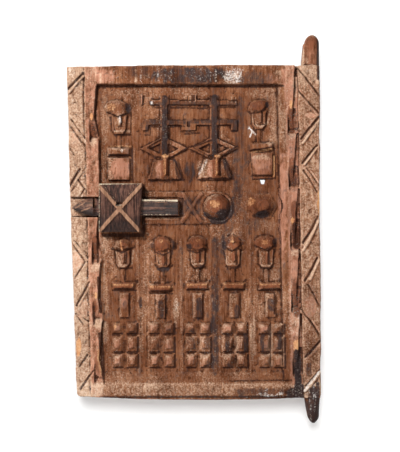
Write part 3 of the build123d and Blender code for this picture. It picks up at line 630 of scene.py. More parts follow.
# shallow cheeks of heads and masks: level above the field, and how they widen upward
leafCheeks = [
    (342, 250, 10, 14, 5.2, 0.3), (268, 250, 10, 14, 4.8, 0.3), (206, 252, 10, 14, 5.2, 0.3),
    (145, 252, 10, 14, 5.2, 0.3), (83, 252, 10, 14, 5.2, 0.3), (348, 495, 10, 16, 5.2, 0.3),
    (95, 504, 10, 16, 5.2, 0.3), (266, 412, 24, 17, 5.6, -0.28), (174, 413, 23, 16, 5.6, -0.28),
]

# the gap beside the saw-tooth rib, shallow but for its pockets
leafSlits = [
    (32, 551, 6.3, 29), (26, 446, 5.4, 27), (25, 353, 5.4, 29), (21, 234, 5.4, 32), (20, 131, 5.4, 40),
]


def cutToLevel(y, inside, level, kept=0.0):
    y[inside] = level * mm + kept * (y[inside] - level * mm)


def wearDown(y, away, raised, least, core, reach):
    # worn down with the distance, to a least share of its height
    share = 1 - (1 - least) * smoothStep(away, core, 1.0) * (away < reach)
    y[raised] = fieldY * mm + (y[raised] - fieldY * mm) * share[raised]


def stepAlong(values, span):
    # from 0 to 1 over a span in mm
    return smoothStep(values, span[0] * mm, span[1] * mm)


def shapeLeaf(piece, cut):
    points, normals = surfaceOf(piece)
    x, y, z = points.T
    # the pivots stay round and the lock's seat stays true
    calm = stepAlong(z, cut["footCalm"]) * (1 - stepAlong(z, cut["headCalm"]))
    calm = cut["leastCalm"] + (1 - cut["leastCalm"]) * calm
    lockCalm = smoothStep(np.hypot(*offsets(points, cut["lock"])), *cut["lockCalm"])
    calm *= cut["leastLockCalm"] + (1 - cut["leastLockCalm"]) * lockCalm
    front = smoothStep(-normals[:, 1], 0.05, 0.5)

    for *mark, shiftX, shiftZ in leafNudges:
        share = (1 - smoothStep(np.hypot(*offsets(points, mark)), 0.6, 1.4)) * (y < 0)
        x += share * shiftX * mm
        z += share * shiftZ * mm
    for name, way in (("grooves", 1), ("bands", -1)):
        for *line, half, depth in leafStrokes[name]:
            y += way * front * depth * mm * markAt(points, (*line, half * 0.85))

    for *mark, level in leafPressed:
        cutToLevel(y, within(points, mark) & (y < (fieldY - level) * mm), fieldY - level)
    for *mark, least in leafMounds:
        wearDown(y, np.hypot(*offsets(points, mark)), y < fieldY * mm, least, 0.25, 1.3)
    for *mark, least in leafRidges:
        across, up = offsets(points, mark)
        wearDown(y, abs(across), (y < (fieldY - 1) * mm) & (abs(up) < 1), least, 0.12, 1.2)
    for *mark, level, widening in leafCheeks:
        deep = (y < cut["cheekFloor"] * mm) & (y > (fieldY - level) * mm)
        cutToLevel(y, within(points, mark, widening) & deep, fieldY - level, 0.1)
    for mark in leafSlits:
        deep = (front > 0.1) & (y > cut["slitFloor"] * mm) & (y < cut["slitTop"] * mm)
        cutToLevel(y, within(points, mark) & deep, cut["slitFloor"], 0.2)

    # the long edges bulge: the right one below its middle, the left one above it
    right = stepAlong(x, cut["rightEdge"]) * (1 - stepAlong(z, cut["rightTop"]))
    x += cut["rightBulge"] * mm * right * stepAlong(z, cut["rightFoot"])
    fromMiddle = (z - cut["leftMiddle"] * mm) / (cut["leftSpread"] * mm)
    x -= cut["leftBulge"] * mm * stepAlong(-x, cut["leftEdge"]) * np.exp(-fromMiddle ** 2)

    for axis, seed in ((x, 3.1), (z, 9.7)):
        axis += calm * cut["warp"] * mm * noiseAt(points, cut["warpSize"] * mm, seed)
    lift = hewnBy(points, cut["strokes"], back=smoothStep(normals[:, 1], 0.3, 0.8))
    points += normals * (calm * lift * mm)[:, None]

    # the bolt slides over a flat way, with room at its end and along its sides
    way = (x < cut["wayEnd"] * mm) & (abs(z - cut["wayZ"] * mm) < cut["wayHalf"] * mm) & (y < 0)
    y[way] = np.maximum(y[way], (fieldY + 0.1) * mm)

    # the heel's foot narrows to a worn point, and its head leans in
    low = np.clip(-z / (cut["taperHeight"] * mm), 0, 1)
    left = np.clip((cut["pegFront"] * mm - x) / (cut["pegWidth"] * mm), 0, 1)
    x += left * cut["taper"] * mm * low ** 1.25
    high = np.clip((z - cut["headFrom"] * mm) / (cut["headHeight"] * mm), 0, 1)
    x += left * cut["headLean"] * mm * high
    setPoints(piece, points)


# the blocks below the five figures; rows are z, height and rise
legForms = {
    "columns": (341.85, 275.65, 209.45, 143.25, 77.05),
    "offset": 13.2, "lean": 12.5, "leanFrom": 265.9,
    "rows": ((66.5, 24, 7.4), (96.5, 27, 7.0), (125, 19, 7.8)),
    "width": 20, "slope": 6.5,
}


def legBlocks():
    # number of the figure, side, left, z and height of each block
    for z, height, rise in legForms["rows"]:
        lean = legForms["lean"] * (legForms["leanFrom"] - z) / longEdges["height"]
        for n, column in enumerate(legForms["columns"]):
            for side in (-1, 1):
                yield n, side, column - lean - side * legForms["offset"], z, height


leaf = copyOfNode("door_leaf", "leafWood")
firstBlocks = {
    z: carvedBlock(0, z, legForms["width"], height, rise, legForms["slope"])
    for z, height, rise in legForms["rows"]
}
forms = []
for n, side, left, z, height in legBlocks():
    wedge = firstBlocks[z].copy()
    wedge.data = firstBlocks[z].data.copy()
    bpy.context.scene.collection.objects.link(wedge)
    points = surfaceOf(wedge)[0]
    points[:, 0] -= left * mm
    # each crown leans its own way, and more on the last two figures
    crown = points[:, 1] < -12 * mm
    points[crown, 0] += 2.2 * mm * noise.noise((n * 3.7, side * 1.9, z)) - (n > 2) * side * 3 * mm
    points[crown, 2] += 3.5 * mm * noise.noise((n * 5.1, side * 2.3, z + 9))
    setPoints(wedge, points)
    forms.append(wedge)
for block in firstBlocks.values():
    bpy.data.objects.remove(block)
carvers = {"balls": carvedBall, "kites": carvedKite, "roofs": carvedRoof, "blocks": carvedBlock}
for kind, carve in carvers.items():
    forms += [carve(*form) for form in leafForms[kind]]
# the flare at the root of the upper pivot
flare = {"block": (13, 617, 9, 44, 4, 3), "frontY": -5, "halfDepth": 8, "low": (610, -2.2), "high": (625, 2)}
rootForm = carvedBlock(*flare["block"])
points = surfaceOf(rootForm)[0]
x, y, z = points.T
y[:] = np.where(y < flare["frontY"] * mm, -flare["halfDepth"] * mm, flare["halfDepth"] * mm)
x += (z < flare["low"][0] * mm) * flare["low"][1] * mm
x += (z > flare["high"][0] * mm) * flare["high"][1] * mm
setPoints(rootForm, points)
forms.append(rootForm)
pick(leaf)
for form in forms:
    form.select_set(True)
bpy.ops.object.join()
remesh(leaf, leafCut)
print("leaf remeshed:", len(leaf.data.vertices))
shapeLeaf(leaf, leafCut)
print("leaf hewn")

# where dust, polish, soot and chips lie, with painted shade, painted shadow lines and painted highlights:
# spots and strokes by strength
leafMarks = {}
leafMarks["pale"] = {
    0.95: [(418, 576, 11, 25), (16, 626, 16, 580, 2.9)], 0.9: [(384, 133, 16, 11), (30, 565, 6.1, 25),
    (105, 493, 93, 488, 2.5), (93, 488, 80, 497, 2.5), (352, 508, 348, 493, 2.2), (18, 630, 18, 599, 2.5)],
    0.85: [(75, 95, 5.4, 40), (91, 434, 18, 6.1), (76, 122, 76, 97, 4.3)], 0.8: [(392, 234, 11, 9),
    (37, 472, 11, 7.2), (30, 261, 13, 7.2), (26, 139, 13, 7.2), (289, 20, 25, 7.2), (343, 238, 14, 3.6),
    (76, 83, 76, 59, 3.2), (381, 583, 381, 569, 2.7), (318, 590, 318, 569, 2.7), (215, 240, 194, 242, 1.8),
    (91, 238, 73, 238, 1.8), (165, 279, 148, 299, 1.8), (109, 504, 105, 493, 2.5), (356, 481, 330, 481, 2.5),
    (229, 544, 229, 529, 1.6), (220, 544, 220, 529, 1.6), (212, 544, 212, 529, 1.6)],
    0.75: [(246, 158, 6.3, 29), (145, 543, 145, 531, 1.6), (138, 542, 138, 531, 1.6)],
    0.7: [(350, 508, 7.2, 5.4), (395, 461, 7.2, 11), (107, 104, 7.2, 50), (375, 115, 9, 22),
    (76, 101, 76, 81, 7.2), (354, 263, 347, 241, 2.2), (323, 265, 326, 241, 2.2), (280, 254, 276, 241, 1.8),
    (154, 241, 130, 241, 1.8), (147, 299, 125, 284, 1.8), (80, 497, 76, 522, 2.2), (365, 434, 365, 391, 1.8)],
    0.65: [(55, 95, 7.2, 50), (83, 184, 83, 149, 3.6), (220, 259, 215, 243, 2.2), (159, 265, 154, 243, 2.2),
    (94, 261, 91, 239, 2.2)], 0.6: [(62, 583, 9, 9), (199, 414, 11, 18), (145, 576, 25, 16),
    (64, 500, 13, 58), (375, 275, 9, 25), (348, 450, 18, 5.4), (140, 178, 6.3, 11), (80, 182, 7.2, 9),
    (51, 486, 9, 50), (71, 551, 18, 18), (73, 464, 11, 14), (214, 184, 213, 144, 3.2),
    (147, 184, 146, 146, 3.2), (137, 110, 136, 83, 6.1), (190, 259, 194, 243, 2.2), (126, 263, 130, 243, 2.2),
    (69, 263, 73, 239, 2.2), (39, 331, 37, 68, 1.4), (346, 259, 344, 243, 2.2), (375, 252, 377, 144, 2.5)],
    0.55: [(274, 580, 40, 7.2), (372, 176, 7.2, 40), (375, 504, 9, 61), (347, 182, 347, 146, 2.9),
    (9.9, 612, 11, 572, 3.6)], 0.5: [(91, 549, 32, 13), (73, 227, 22, 29), (309, 122, 5.4, 63),
    (343, 182, 7.2, 7.2), (210, 176, 6.3, 7.2), (370, 432, 7.2, 25), (91, 158, 11, 18),
    (282, 182, 282, 144, 2.9), (45, 554, 43, 338, 1.6), (303, 275, 300, 176, 1.8)], 0.45: [(91, 311, 36, 14),
    (346, 549, 29, 7.2), (278, 178, 6.3, 6.3)], 0.42: [(357, 245, 18, 32)], 0.4: [(105, 515, 14, 25)],
    0.35: [(325, 167, 5.4, 18), (80, 68, 14, 29), (368, 500, 9, 36)], 0.3: [(390, 554, 5.4, 7.2),
    (348, 527, 29, 25)],
}
leafMarks["red"] = {
    0.95: [(33, 347, 8.1, 31), (32, 230, 8.1, 23)], 0.9: [(39, 558, 6.3, 31), (39, 443, 5.4, 23),
    (30, 115, 7.2, 14)], 0.8: [(382, 580, 31, 14), (53, 347, 9, 104), (346, 412, 22, 23), (4.5, 509, 9, 5.4)],
    0.75: [(46, 576, 11, 25), (424, 245, 11, 23)], 0.7: [(276, 412, 7.2, 14)], 0.6: [(91, 419, 22, 23),
    (411, 160, 11, 18), (2.7, 167, 13, 23), (339, 171, 7.2, 11), (183, 412, 7.2, 14)],
    0.5: [(428, 468, 9, 22), (73, 576, 14, 11)],
}
leafMarks["polish"] = {
    1: [(271, 275, 20, 17), (168, 346, 25, 24)], 0.95: [(208, 277, 20, 16), (266, 414, 9, 23),
    (173, 414, 9, 22), (33, 349, 29, 274, 7.2)], 0.9: [(144, 281, 18, 16), (85, 279, 22, 14),
    (98, 527, 20, 13), (268, 248, 4.3, 13), (206, 254, 4.3, 13), (142, 256, 4.3, 11), (82, 252, 3.6, 13),
    (39, 502, 9, 16), (35, 403, 9, 16), (30, 295, 9, 20), (38, 520, 37, 481, 7.2), (37, 428, 33, 385, 6.8)],
    0.85: [(274, 198, 25, 9), (208, 202, 23, 9), (141, 203, 23, 9), (78, 203, 23, 9), (30, 191, 9, 29)],
    0.8: [(342, 274, 6.1, 13), (94, 347, 27, 22), (343, 202, 25, 9), (398, 481, 7.2, 16), (392, 274, 6.3, 29),
    (0.9, 641, 14, 14), (29, 212, 28, 151, 7.6)], 0.7: [(89, 403, 22, 13), (392, 164, 6.3, 14),
    (29, 108, 26, 76, 6.5), (235, 365, 202, 320, 4), (202, 365, 235, 320, 4)], 0.6: [(386, 65, 7.2, 27)],
    0.5: [(350, 524, 22, 14)], 0.4: [(370, 275, 368, 176, 2.9)],
}
# wear, with painted highlights on the caps and on the left facets of the mask noses
leafMarks["wearAndHighlight"] = {
    1: [(-14, 351, 5.8, 25)], 0.95: [(421, 92, 4.7, 20)], 0.9: [(398, 506, 2.9, 7.2)],
    0.8: [(36, 320, 3.6, 7.2), (390, 185, 2.5, 7.2)], 0.75: [(29, 95, 7.2, 11)], 0.7: [(39, 529, 3.6, 9),
    (69, 436, 69, 400, 2.2)], 0.6: [(176, 349, 11, 9), (356, 128, 4.3, 7.2), (346, 283, 343, 266, 2.3)],
    0.56: [(110, 353, 9, 9)], 0.55: [(265, 436, 7.2, 4.3), (171, 436, 7.2, 4.3), (109, 443, 73, 448, 2.2)],
    0.5: [(15, -7.2, 2.7, 7.2), (363, 524, 11, 9), (86, 281, 9, 7.2), (273, 282, 5.4, 5),
    (386, 86, 382, 40, 3.2), (364, 454, 328, 454, 2.9), (267, 430, 266, 401, 2.7), (174, 430, 173, 401, 2.5),
    (107, 392, 98, 391, 1.8)], 0.46: [(205, 284, 5.4, 4.7)], 0.45: [(105, 535, 7.2, 3.6)],
    0.44: [(361, 203, 321, 203, 3.1), (294, 200, 253, 199, 3.1), (226, 203, 188, 205, 3.1),
    (159, 206, 123, 206, 3.1), (98, 205, 58, 207, 3.1)], 0.42: [(145, 284, 5.4, 9)],
    0.4: [(89, 362, 5.4, 5.4)],
}
# soot, and painted shade on the lower right of bosses, caps, noses and torsos and in the rib pockets
leafMarks["sootAndShade"] = {
    1: [(33, 9, 18, 11), (91, 331, 16, 7.2), (0.9, -29, 18, 32), (27, 83, 25, 1.8, 7.2),
    (-2.7, 11, 0, -54, 12)], 0.95: [(179, 319, 158, 320, 7.2), (158, 320, 145, 338, 7.2),
    (19, 22, 19, 1.8, 4.3)], 0.9: [(158, 331, 18, 11), (159, 275, 6.3, 9), (221, 272, 6.3, 7.2),
    (-9.9, 25, -9.9, 3.6, 4.3), (266, 540, 266, 439, 6.8), (176, 542, 176, 439, 6.8),
    (224, 594, 224, 569, 1.8), (-11, 644, -11, 576, 3.2)], 0.85: [(332, 524, 7.2, 11),
    (204, 176, 204, 144, 6.1), (144, 338, 144, 360, 4.3)], 0.8: [(220, 581, 90, 18), (81, 529, 4.5, 7.2),
    (251, 277, 4.7, 9), (68, 281, 5.4, 7.2), (268, 232, 14, 4.7), (174, 176, 9, 25), (178, 130, 7.2, 25),
    (136, 162, 136, 148, 6.5), (192, 331, 179, 319, 5.4), (59, 115, 59, 90, 5)], 0.75: [(220, 409, 13, 23),
    (176, 83, 9, 29), (153, 112, 153, 85, 5), (120, 112, 120, 85, 4.7), (90, 110, 90, 86, 4.7),
    (303, 497, 231, 497, 4.7), (217, 498, 136, 498, 4.7), (298, 495, 298, 477, 4.7),
    (141, 497, 141, 482, 4.7)], 0.7: [(150, 342, 7.2, 16), (287, 274, 5.4, 9), (202, 238, 11, 2.9),
    (310, 171, 5.4, 11), (174, 266, 9, 25), (134, 374, 11, 29), (273, 171, 273, 149, 6.5),
    (75, 175, 75, 160, 6.5), (249, 427, 240, 398, 4.7), (159, 427, 150, 400, 4.7)],
    0.65: [(6.3, 59, 6.3, 43, 5.4)], 0.62: [(220, 344, 25, 23)], 0.6: [(125, 419, 13, 47), (271, 342, 36, 16),
    (145, 329, 11, 25), (190, 101, 7.2, 14), (338, 171, 338, 158, 5.4), (291, 531, 138, 531, 4.7),
    (174, 284, 176, 47, 9), (382, 2.7, 58, 2.7, 2.2), (130, 11, 37, 11, 7.2)],
    0.58: [(129, 536, 134, 356, 11), (136, 356, 170, 245, 11)], 0.55: [(102, 576, 43, 16),
    (177, 223, 7.2, 22), (112, 310, 25, 18), (136, 419, 13, 54), (219, 99, 7.2, 14)],
    0.5: [(310, 587, 36, 13), (91, 11, 29, 9), (6.3, 50, 7.2, 11), (69, 346, 9, 13), (125, 464, 7.2, 32),
    (123, 311, 11, 47), (152, 97, 5.4, 9), (122, 97, 5.4, 9)], 0.45: [(177, 140, 16, 72),
    (238, 245, 7.2, 47)], 0.4: [(118, 374, 14, 32), (220, 317, 72, 9), (0.9, 95, 13, 40), (260, 99, 7.2, 13),
    (309, 497, 5.4, 36), (109, 293, 109, 176, 4.7)], 0.36: [(2.7, 176, 14, 40)], 0.3: [(274, 371, 32, 7.2),
    (217, 313, 29, 7.2)],
}
leafMarks["chalkAndHighlight"] = {
    1: [(115, 488, 108, 482, 1.8), (108, 482, 112, 471, 1.8)], 0.9: [(290, 532, 2.9, 2.9),
    (108, 482, 102, 475, 1.8)], 0.8: [(-13, 47, 14, 13, 2.7), (347, 506, 346, 497, 2.3)],
    0.6: [(76, 4.5, 13, 2.5), (58, 8.1, 9, 3.2), (343, 445, 3.6, 3.6), (190, 428, 204, 403, 2.5)],
    0.58: [(143, 581, 22, 16)], 0.55: [(91, 7.2, 14, 2.9)], 0.5: [(435, 587, 9, 11)],
    0.45: [(-2.7, 22, -1.8, -3.6, 2.2)], 0.42: [(82, 14, 14, 2.9), (4.5, 14, 3.6, -7.2, 2.2)],
    0.4: [(246, 167, 3.6, 14), (174, 590, 174, 569, 2.5), (-6.3, 3.6, -4.5, -25, 1.8)],
    0.38: [(278, 592, 278, 569, 3.2)], 0.36: [(309, 590, 309, 569, 2.5), (3.6, -11, 1.8, -40, 2.2)],
    0.35: [(201, 594, 202, 572, 1.4), (184, 587, 183, 569, 1.4)], 0.34: [(255, 590, 255, 571, 2.2)],
    0.3: [(202, 414, 5.4, 14)], 0.22: [(271, 581, 29, 13)], 0.2: [(202, 583, 36, 14)],
    0.16: [(350, 581, 29, 13)],
}
# painted shadow lines below and right of the forms, around the lock and along the walls of the field
leafMarks["hollow"] = {
    1: [(316, 209, 2.5, 3.2), (386, 562, 53, 562, 2.2), (389, 560, 392, 513, 2), (385, 216, 382, 155, 3.2),
    (382, 115, 377, 40, 4), (361, 268, 343, 262, 1.8), (343, 262, 322, 271, 1.8), (305, 382, 305, 295, 4),
    (377, 293, 305, 293, 3.6), (130, 1.8, 17, 1.8, 2.9)], 0.95: [(335, 261, 336, 243, 1.8),
    (347, 233, 325, 233, 1.6), (213, 233, 192, 236, 1.8), (137, 265, 137, 247, 1.6),
    (156, 236, 129, 236, 1.6), (78, 266, 78, 241, 1.6), (361, 193, 318, 193, 1.6), (294, 188, 251, 188, 1.6),
    (226, 194, 186, 195, 1.6), (159, 194, 122, 195, 1.6), (98, 193, 55, 195, 1.6), (68, 189, 68, 151, 1.8),
    (287, 523, 273, 523, 1.6), (259, 523, 183, 523, 1.6), (169, 524, 138, 525, 1.6),
    (230, 476, 204, 478, 1.8), (297, 451, 274, 465, 1.8), (214, 453, 181, 465, 1.8),
    (135, 454, 161, 438, 1.8), (258, 432, 259, 401, 1.8), (292, 391, 231, 393, 1.8),
    (199, 395, 141, 395, 1.8), (350, 506, 328, 515, 1.8), (357, 474, 328, 475, 1.8),
    (366, 437, 327, 437, 1.6), (91, 517, 80, 527, 2.2)], 0.9: [(249, 205, 2.2, 3.2), (185, 209, 2.2, 3.6),
    (120, 211, 2.2, 3.6), (98, 328, 13, 4.7), (26, 41, 6.1, 41), (392, 513, 386, 473, 2),
    (387, 299, 387, 245, 2.2), (263, 259, 263, 239, 1.6), (284, 239, 274, 229, 1.8),
    (274, 228, 262, 228, 1.8), (262, 229, 252, 239, 1.8), (201, 265, 202, 245, 1.6), (93, 234, 71, 234, 1.6),
    (197, 184, 197, 140, 1.6), (292, 489, 273, 489, 1.6), (259, 489, 230, 490, 1.6),
    (204, 491, 183, 491, 1.6), (169, 491, 147, 492, 1.6), (146, 481, 135, 481, 1.6),
    (222, 453, 251, 435, 1.6), (166, 434, 166, 401, 1.6), (370, 515, 352, 507, 1.4),
    (343, 504, 344, 490, 1.4), (90, 515, 90, 495, 1.6), (112, 446, 71, 452, 1.6), (107, 394, 68, 395, 1.6),
    (285, 263, 269, 257, 1.6), (269, 257, 252, 265, 1.8), (224, 266, 208, 261, 1.6),
    (208, 261, 191, 268, 1.8), (162, 275, 145, 264, 1.6), (145, 264, 125, 278, 1.8), (104, 274, 86, 267, 1.6),
    (86, 267, 66, 274, 2)], 0.85: [(330, 187, 330, 148, 1.6), (129, 187, 129, 144, 1.6)],
    0.8: [(355, 505, 1.8, 1.8), (337, 230, 337, 216, 1.3), (219, 239, 213, 233, 1.6),
    (138, 234, 138, 220, 1.4), (265, 184, 265, 142, 1.6), (302, 474, 293, 474, 1.4),
    (292, 488, 292, 475, 1.4), (184, 545, 184, 535, 1.4), (225, 544, 225, 533, 1.1),
    (216, 544, 216, 533, 1.1), (208, 544, 208, 533, 1.1), (154, 428, 142, 398, 1.4),
    (352, 489, 343, 489, 1.4), (327, 515, 328, 479, 1.6), (325, 454, 324, 389, 1.6), (109, 513, 91, 515, 1.6),
    (98, 493, 87, 493, 1.3), (68, 450, 66, 396, 1.6), (141, 542, 141, 532, 1.1), (300, 328, 242, 327, 1.8),
    (148, 30, 37, 32, 1.4), (374, 1.4, 130, 1.1, 1.6)], 0.75: [(258, 545, 258, 443, 1.6),
    (168, 545, 168, 443, 1.6)], 0.72: [(31, 311, 29, 274, 6.5)], 0.7: [(269, 225, 269, 211, 1.3),
    (203, 230, 203, 214, 1.3), (76, 232, 76, 216, 1.3), (134, 500, 134, 482, 1.4), (242, 428, 232, 396, 1.3),
    (90, 484, 90, 468, 1.3), (112, 441, 107, 396, 1.3), (239, 358, 239, 328, 1.6)],
    0.6: [(214, 451, 183, 434, 1.3), (284, 428, 292, 394, 1.1)], 0.55: [(35, 414, 33, 385, 5.8)],
    0.5: [(261, 396, 9, 5.4), (395, 506, 393, 477, 5.4), (253, 466, 226, 455, 1.1),
    (165, 467, 138, 458, 1.1)], 0.45: [(38, 515, 37, 481, 5.8)], 0.42: [(29, 203, 28, 151, 6.5)],
    0.4: [(395, 493, 7.2, 9)], 0.35: [(95, 347, 2.9, 4.3)], 0.3: [(368, 535, 359, 515, 1.1)],
}

# the tone of each part below its marks, and how far it stays off the pegs
leafTones = {
    "pale": {"outerLeft": 0.78, "outerRight": 0.54, "leftStrip": 0.3, "rightStrip": 0.2, "footRail": 0.5,
             "topRail": 0.2, "field": 0.04, "drift": 0.32},
    "red": {"leftStrip": 0.55, "rightStrip": 0.5, "outerRight": 0.2, "field": 0.12, "upperPeg": 0.15},
    "polish": {"upperPeg": 0.35},
    "sootAndShade": {"field": 0.34, "drift": -0.24, "heelFoot": 1.0, "upperPeg": 0.16},
    "chalkAndHighlight": {"drift": 0.14, "outerLeft": 0.2, "outerRight": 0.1, "footRail": 0.12, "leftStrip": 0.1,
              "rightStrip": 0.1},
}
offPegs = {"pale": 0.8, "chalkAndHighlight": 1.0}
legShade = (0.45, 0.6, 0.85, 0.6, 0.55)


def legMarks():
    # painted light on the upper left, painted shade on the lower right, painted shadow lines below and right
    marks = {"pale": [], "red": [], "sootAndShade": [], "hollow": []}
    half = legForms["width"] / 2
    for n, side, left, z, height in legBlocks():
        tone = 0.5 + 0.5 * noise.noise((n * 1.7 + 0.3, side * 2.3, z * 0.11))
        upperLeftLight = 0.35 + 0.3 * tone + 0.1 * (n > 2)
        marks["pale"].append((upperLeftLight, [(left + 4, z + height * 0.22, 6, height * 0.22)]))
        marks["red"].append((0.75 * tone, [(left, z, 8, height * 0.4)]))
        lowerRightShade = (left - 4, z - height * 0.2, 6.5, height * 0.3)
        marks["sootAndShade"].append((legShade[n] * (1.2 - tone), [lowerRightShade]))
        shift = 1.6 * noise.noise((n * 2.9, side * 1.3, z * 0.2))
        foot, right = z - height / 2 - 0.6 + shift, left - half - 0.6
        marks["hollow"] += [
            (0.95, [(left + half - 3 - shift, foot, left - half + 1, foot - 0.5 * shift, 1.6)]),
            (0.7 + 0.3 * side, [(right, foot, right, z + height / 2 - 2, 1.5 + 0.6 * side)]),
        ]
    return marks


def toneMasks(x, z, drift):
    def edgeStep(name, low, high):
        return smoothStep(x, edgeX(name, z) + low * mm, edgeX(name, z) + high * mm)

    masks = {"outerLeft": 1 - edgeStep("strip", -2, 2), "outerRight": edgeStep("border", -2, 2)}
    masks["leftStrip"] = (1 - masks["outerLeft"]) * (1 - edgeStep("leftWall", -2, 1))
    masks["rightStrip"] = edgeStep("rightWall", 8, 14) * (1 - masks["outerRight"])
    masks["topRail"] = stepAlong(z, (563, 568))
    masks["footRail"] = 1 - stepAlong(z, (24, 30))
    masks["field"] = np.prod([1 - masks[name] for name in masks if name != "rightStrip"], axis=0)
    masks["drift"] = drift * masks["field"]
    masks["upperPeg"] = stepAlong(z, (597, 604))
    masks["heelFoot"] = (1 - stepAlong(z, (-14, 6))) * (x > -24 * mm)
    return masks


def paintLeaf(piece):
    points, normals = surfaceOf(piece)
    edges = readRows(piece.data.edges, "vertices", 2, np.int32)
    x, y, z = points.T
    front = smoothStep(-normals[:, 1], -0.2, 0.35) * (y < 6 * mm)
    wobble = 0.3 * noiseAt(points, 9 * mm, 31.0) + 0.18 * noiseAt(points, 3.5 * mm, 12.0)
    drift = smoothStep(noiseAt(points * (1, 1, 0.55), 42 * mm, 7.7), -0.25, 0.45)

    # how far each point lies below its neighbours: its hollows get painted shade, its ridges are rubbed
    fine = hollowAt(points, normals, edges, 6, 0.8 * mm)
    broad = hollowAt(points, normals, edges, 30, 2.6 * mm)
    ridge = np.clip(-fine, 0, 1)
    hollow = np.clip(0.75 * np.clip(fine, 0, 1) + 0.7 * np.clip(broad, 0, 1), 0, 1)

    masks = toneMasks(x, z, drift)
    peg = np.maximum(masks["upperPeg"], stepAlong(-z, (-2, 4)))
    legs = legMarks()
    painted = {}
    for name, marks in leafMarks.items():
        value = strongest(points, (*marks.items(), *legs.get(name, ())), wobble)
        tone = sum(share * masks[part] for part, share in leafTones.get(name, {}).items())
        tone *= 1 - offPegs.get(name, 0) * peg
        painted[name] = np.maximum(value * front, tone * (0.35 + 0.65 * front))

    # light bands beside the zigzag grooves, painted shade in the grooves, and cheeks kept free of painted
    # shade
    for *line, half, rise in leafStrokes["bands"]:
        band = markAt(points, (*line, half * 0.8), wobble) * front
        painted["pale"] = np.maximum(painted["pale"], band * np.clip(0.62 * rise - 0.12, 0, 0.95))
    for *line, half, depth in leafStrokes["grooves"]:
        groove = markAt(points, (*line, half * 0.55), 0.8 * wobble) * front
        hollow = np.maximum(hollow * (1 - 0.4 * groove), groove * 0.3 * depth)
    for left, up, halfWidth, halfHeight, *_ in leafCheeks:
        cheek = markAt(points, (left, up, halfWidth * 1.1, halfHeight))
        hollow *= 1 - 0.95 * cheek
        painted["pale"] = np.maximum(painted["pale"], 0.35 * cheek)

    # ridges are rubbed; faces turned down and right get painted shade; faces that look up and left are paler,
    # dust and painted light from the upper left
    shaded = np.clip(-0.8 * normals[:, 2] + 0.45 * normals[:, 0], 0, 1) * front
    painted["red"] += 0.45 * ridge * (1 - painted["sootAndShade"])
    painted["wearAndHighlight"] += 0.3 * ridge * ridge
    painted["pale"] += 0.45 * np.clip(normals[:, 2] - 0.3 * normals[:, 0], 0, 1) * front
    painted["pale"] *= 1 - 0.75 * np.maximum(painted["sootAndShade"], 0.7 * hollow)
    painted["polish"] *= 1 - 0.5 * painted["sootAndShade"]
    hollow = np.maximum(hollow, 0.9 * shaded) * front
    painted["hollow"] = np.maximum(hollow, painted["hollow"]) + 0.04 * (1 - front)
    for name, value in painted.items():
        paint(piece, name, value)


paintLeaf(leaf)
leaf.data.materials.append(leafWood)


def partOff(piece, name, chosen):
    # a mesh of its own for the chosen faces, so that the relief keeps its fine facets
    pick(piece)
    bpy.context.tool_settings.mesh_select_mode = (False, False, True)
    piece.data.polygons.foreach_set("select", chosen)
    bpy.ops.object.mode_set(mode="EDIT")
    bpy.ops.mesh.separate(type="SELECTED")
    bpy.ops.object.mode_set(mode="OBJECT")
    parted = [item for item in bpy.context.selected_objects if item != piece][0]
    parted.name = parted.data.name = name
    return parted


def faceCentres(piece):
    return readRows(piece.data.polygons, "center").astype(float).T


leafBack = partOff(leaf, "leafBackWood", faceCentres(leaf)[1] > leafCut["backY"] * mm)
x, y, z = faceCentres(leaf)
inField = (x > edgeX("leftWall", z)) & (x < edgeX("rightWall", z) + 2 * mm) & (z > 27 * mm) & (z < 564 * mm)
leafBorder = partOff(leaf, "leafBorderWood", ~inField)
leaf.name = "leafFieldWood"
for piece in (leaf, leafBorder, leafBack):
    share = leafCut["triangles"] / (2 * len(piece.data.polygons))
    print(piece.name, 2 * len(piece.data.polygons), "triangles")
    if share < 1:
        useModifier(piece, "DECIMATE", ratio=share)
    pick(piece)
    bpy.ops.object.shade_smooth()
    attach(piece, "leaf")
    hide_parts("door_leaf")
print("leaf painted")


# the lock: case, bolt and cover

def hewnCopy(nodeName, pieceName, cut, material, body):
    piece = copyOfNode(nodeName, pieceName)
    remesh(piece, cut)
    points, normals = surfaceOf(piece)
    points += normals * (hewnBy(points, cut["strokes"]) * mm)[:, None]
    setPoints(piece, points)
    piece.data.materials.append(material)
    pick(piece)
    bpy.ops.object.shade_smooth()
    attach(piece, body)
    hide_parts(nodeName)
    return piece


caseCut = {
    "voxel": 1.0, "smoothing": 1,
    "strokes": {"adze": (facetsAt, 0.25, 9, (1, 1, 1), 8.5), "fibre": (noiseAt, 0.35, 4, (1, 1, 0.08), 4.2)},
    "middle": (-346.04, 340.1), "ribHalf": (3.4, 6.5), "ribSteep": 1.1,
    "frontY": -30, "chalkAndHighlightY": -8, "shade": (5, 30), "notch": (349, 347, 4.7, 2.5),
    "topLine": (384, 385, 309, 387, 2.2), "sideLine": (383, 382, 383, 299, 1.6),
}
case = hewnCopy("lock_case", "caseWood", caseCut, caseWood, "leaf")
points, normals = surfaceOf(case)
middle = np.array(caseCut["middle"]) * mm
fromMiddle = np.abs(points[:, (0, 2)] - middle)
onRib = 1 - stepAlong(np.abs(fromMiddle[:, 0] * caseCut["ribSteep"] - fromMiddle[:, 1]), caseCut["ribHalf"])
shown = (points[:, 1] < caseCut["frontY"] * mm).astype(float)
below = stepAlong(middle[1] - points[:, 2], caseCut["shade"])
notch = markAt(points, caseCut["notch"])
ledge = smoothStep(normals[:, 2], 0.4, 0.8) + markAt(points, caseCut["topLine"])
ledge += 0.7 * markAt(points, caseCut["sideLine"])
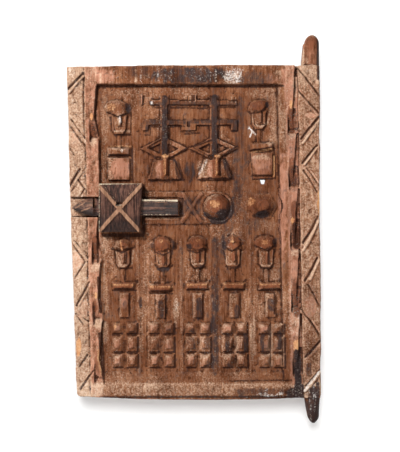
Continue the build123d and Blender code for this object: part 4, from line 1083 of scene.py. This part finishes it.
# soot darkens the faces between the ribs and deepens towards the bottom as painted shade; chalk is a painted
# highlight on the top faces and along the top and left edges
paint(case, "wearAndHighlight", onRib * shown * 0.84 * (1 - notch))
paint(case, "sootAndShade", np.maximum(notch, shown * (0.3 + 0.6 * below) * (1 - onRib)))
paint(case, "chalkAndHighlight", (points[:, 1] < caseCut["chalkAndHighlightY"] * mm) * 0.8 * ledge)

boltCut = {
    "voxel": 0.8, "smoothing": 1,
    "strokes": {"adze": (facetsAt, 0.12, 9, (1, 1, 1), 8.5), "fibre": (noiseAt, 0.15, 3, (0.08, 1, 1), 4.2)},
}
bolt = hewnCopy("lock_bolt", "boltWood", boltCut, boltWood, "bolt")
# wear lightens the head and, with chalk, paints highlights along the lit top edges; soot paints shadow lines
# along the lower edges and in the slit
boltMarks = {}
boltMarks["wearAndHighlight"] = {
    0.9: [(431, 346, 417, 356, 1.8)], 0.8: [(426, 342, 410, 351, 1.4)], 0.7: [(415, 337, 400, 342, 1.4)],
    0.5: [(296, 352, 246, 352, 1.6)], 0.42: [(436, 346, 397, 351, 9)],
}
boltMarks["sootAndShade"] = {
    1: [(400, 367, 386, 367, 2.2), (395, 360, 395, 346, 1.6), (303, 335, 242, 335, 4.7)],
    0.9: [(429, 338, 388, 331, 5.4)], 0.75: [(303, 346, 242, 346, 2.9)],
}
boltMarks["chalkAndHighlight"] = {
    0.95: [(305, 356, 242, 355, 1.6)], 0.8: [(431, 347, 418, 359, 1.4)], 0.7: [(417, 359, 400, 360, 1.4)],
    0.5: [(303, 330, 256, 330, 1.1)],
}
points, normals = surfaceOf(bolt)
wobble = 0.6 * noiseAt(points, 5 * mm, 3.0)
boltFront = smoothStep(-normals[:, 1], 0.0, 0.5)
for name, marks in boltMarks.items():
    paint(bolt, name, boltFront * strongest(points, marks.items(), wobble))

plainNodes = {"chamber_cover": caseWood, "upper_wedge": caseWood, "lower_wedge": caseWood,
              "tumbler_left": pinIron, "tumbler_middle": pinIron, "tumbler_right": pinIron}
for nodeName, material in plainNodes.items():
    frame["nodes"][nodeName].data.materials.clear()
    frame["nodes"][nodeName].data.materials.append(material)
print("lock ready")
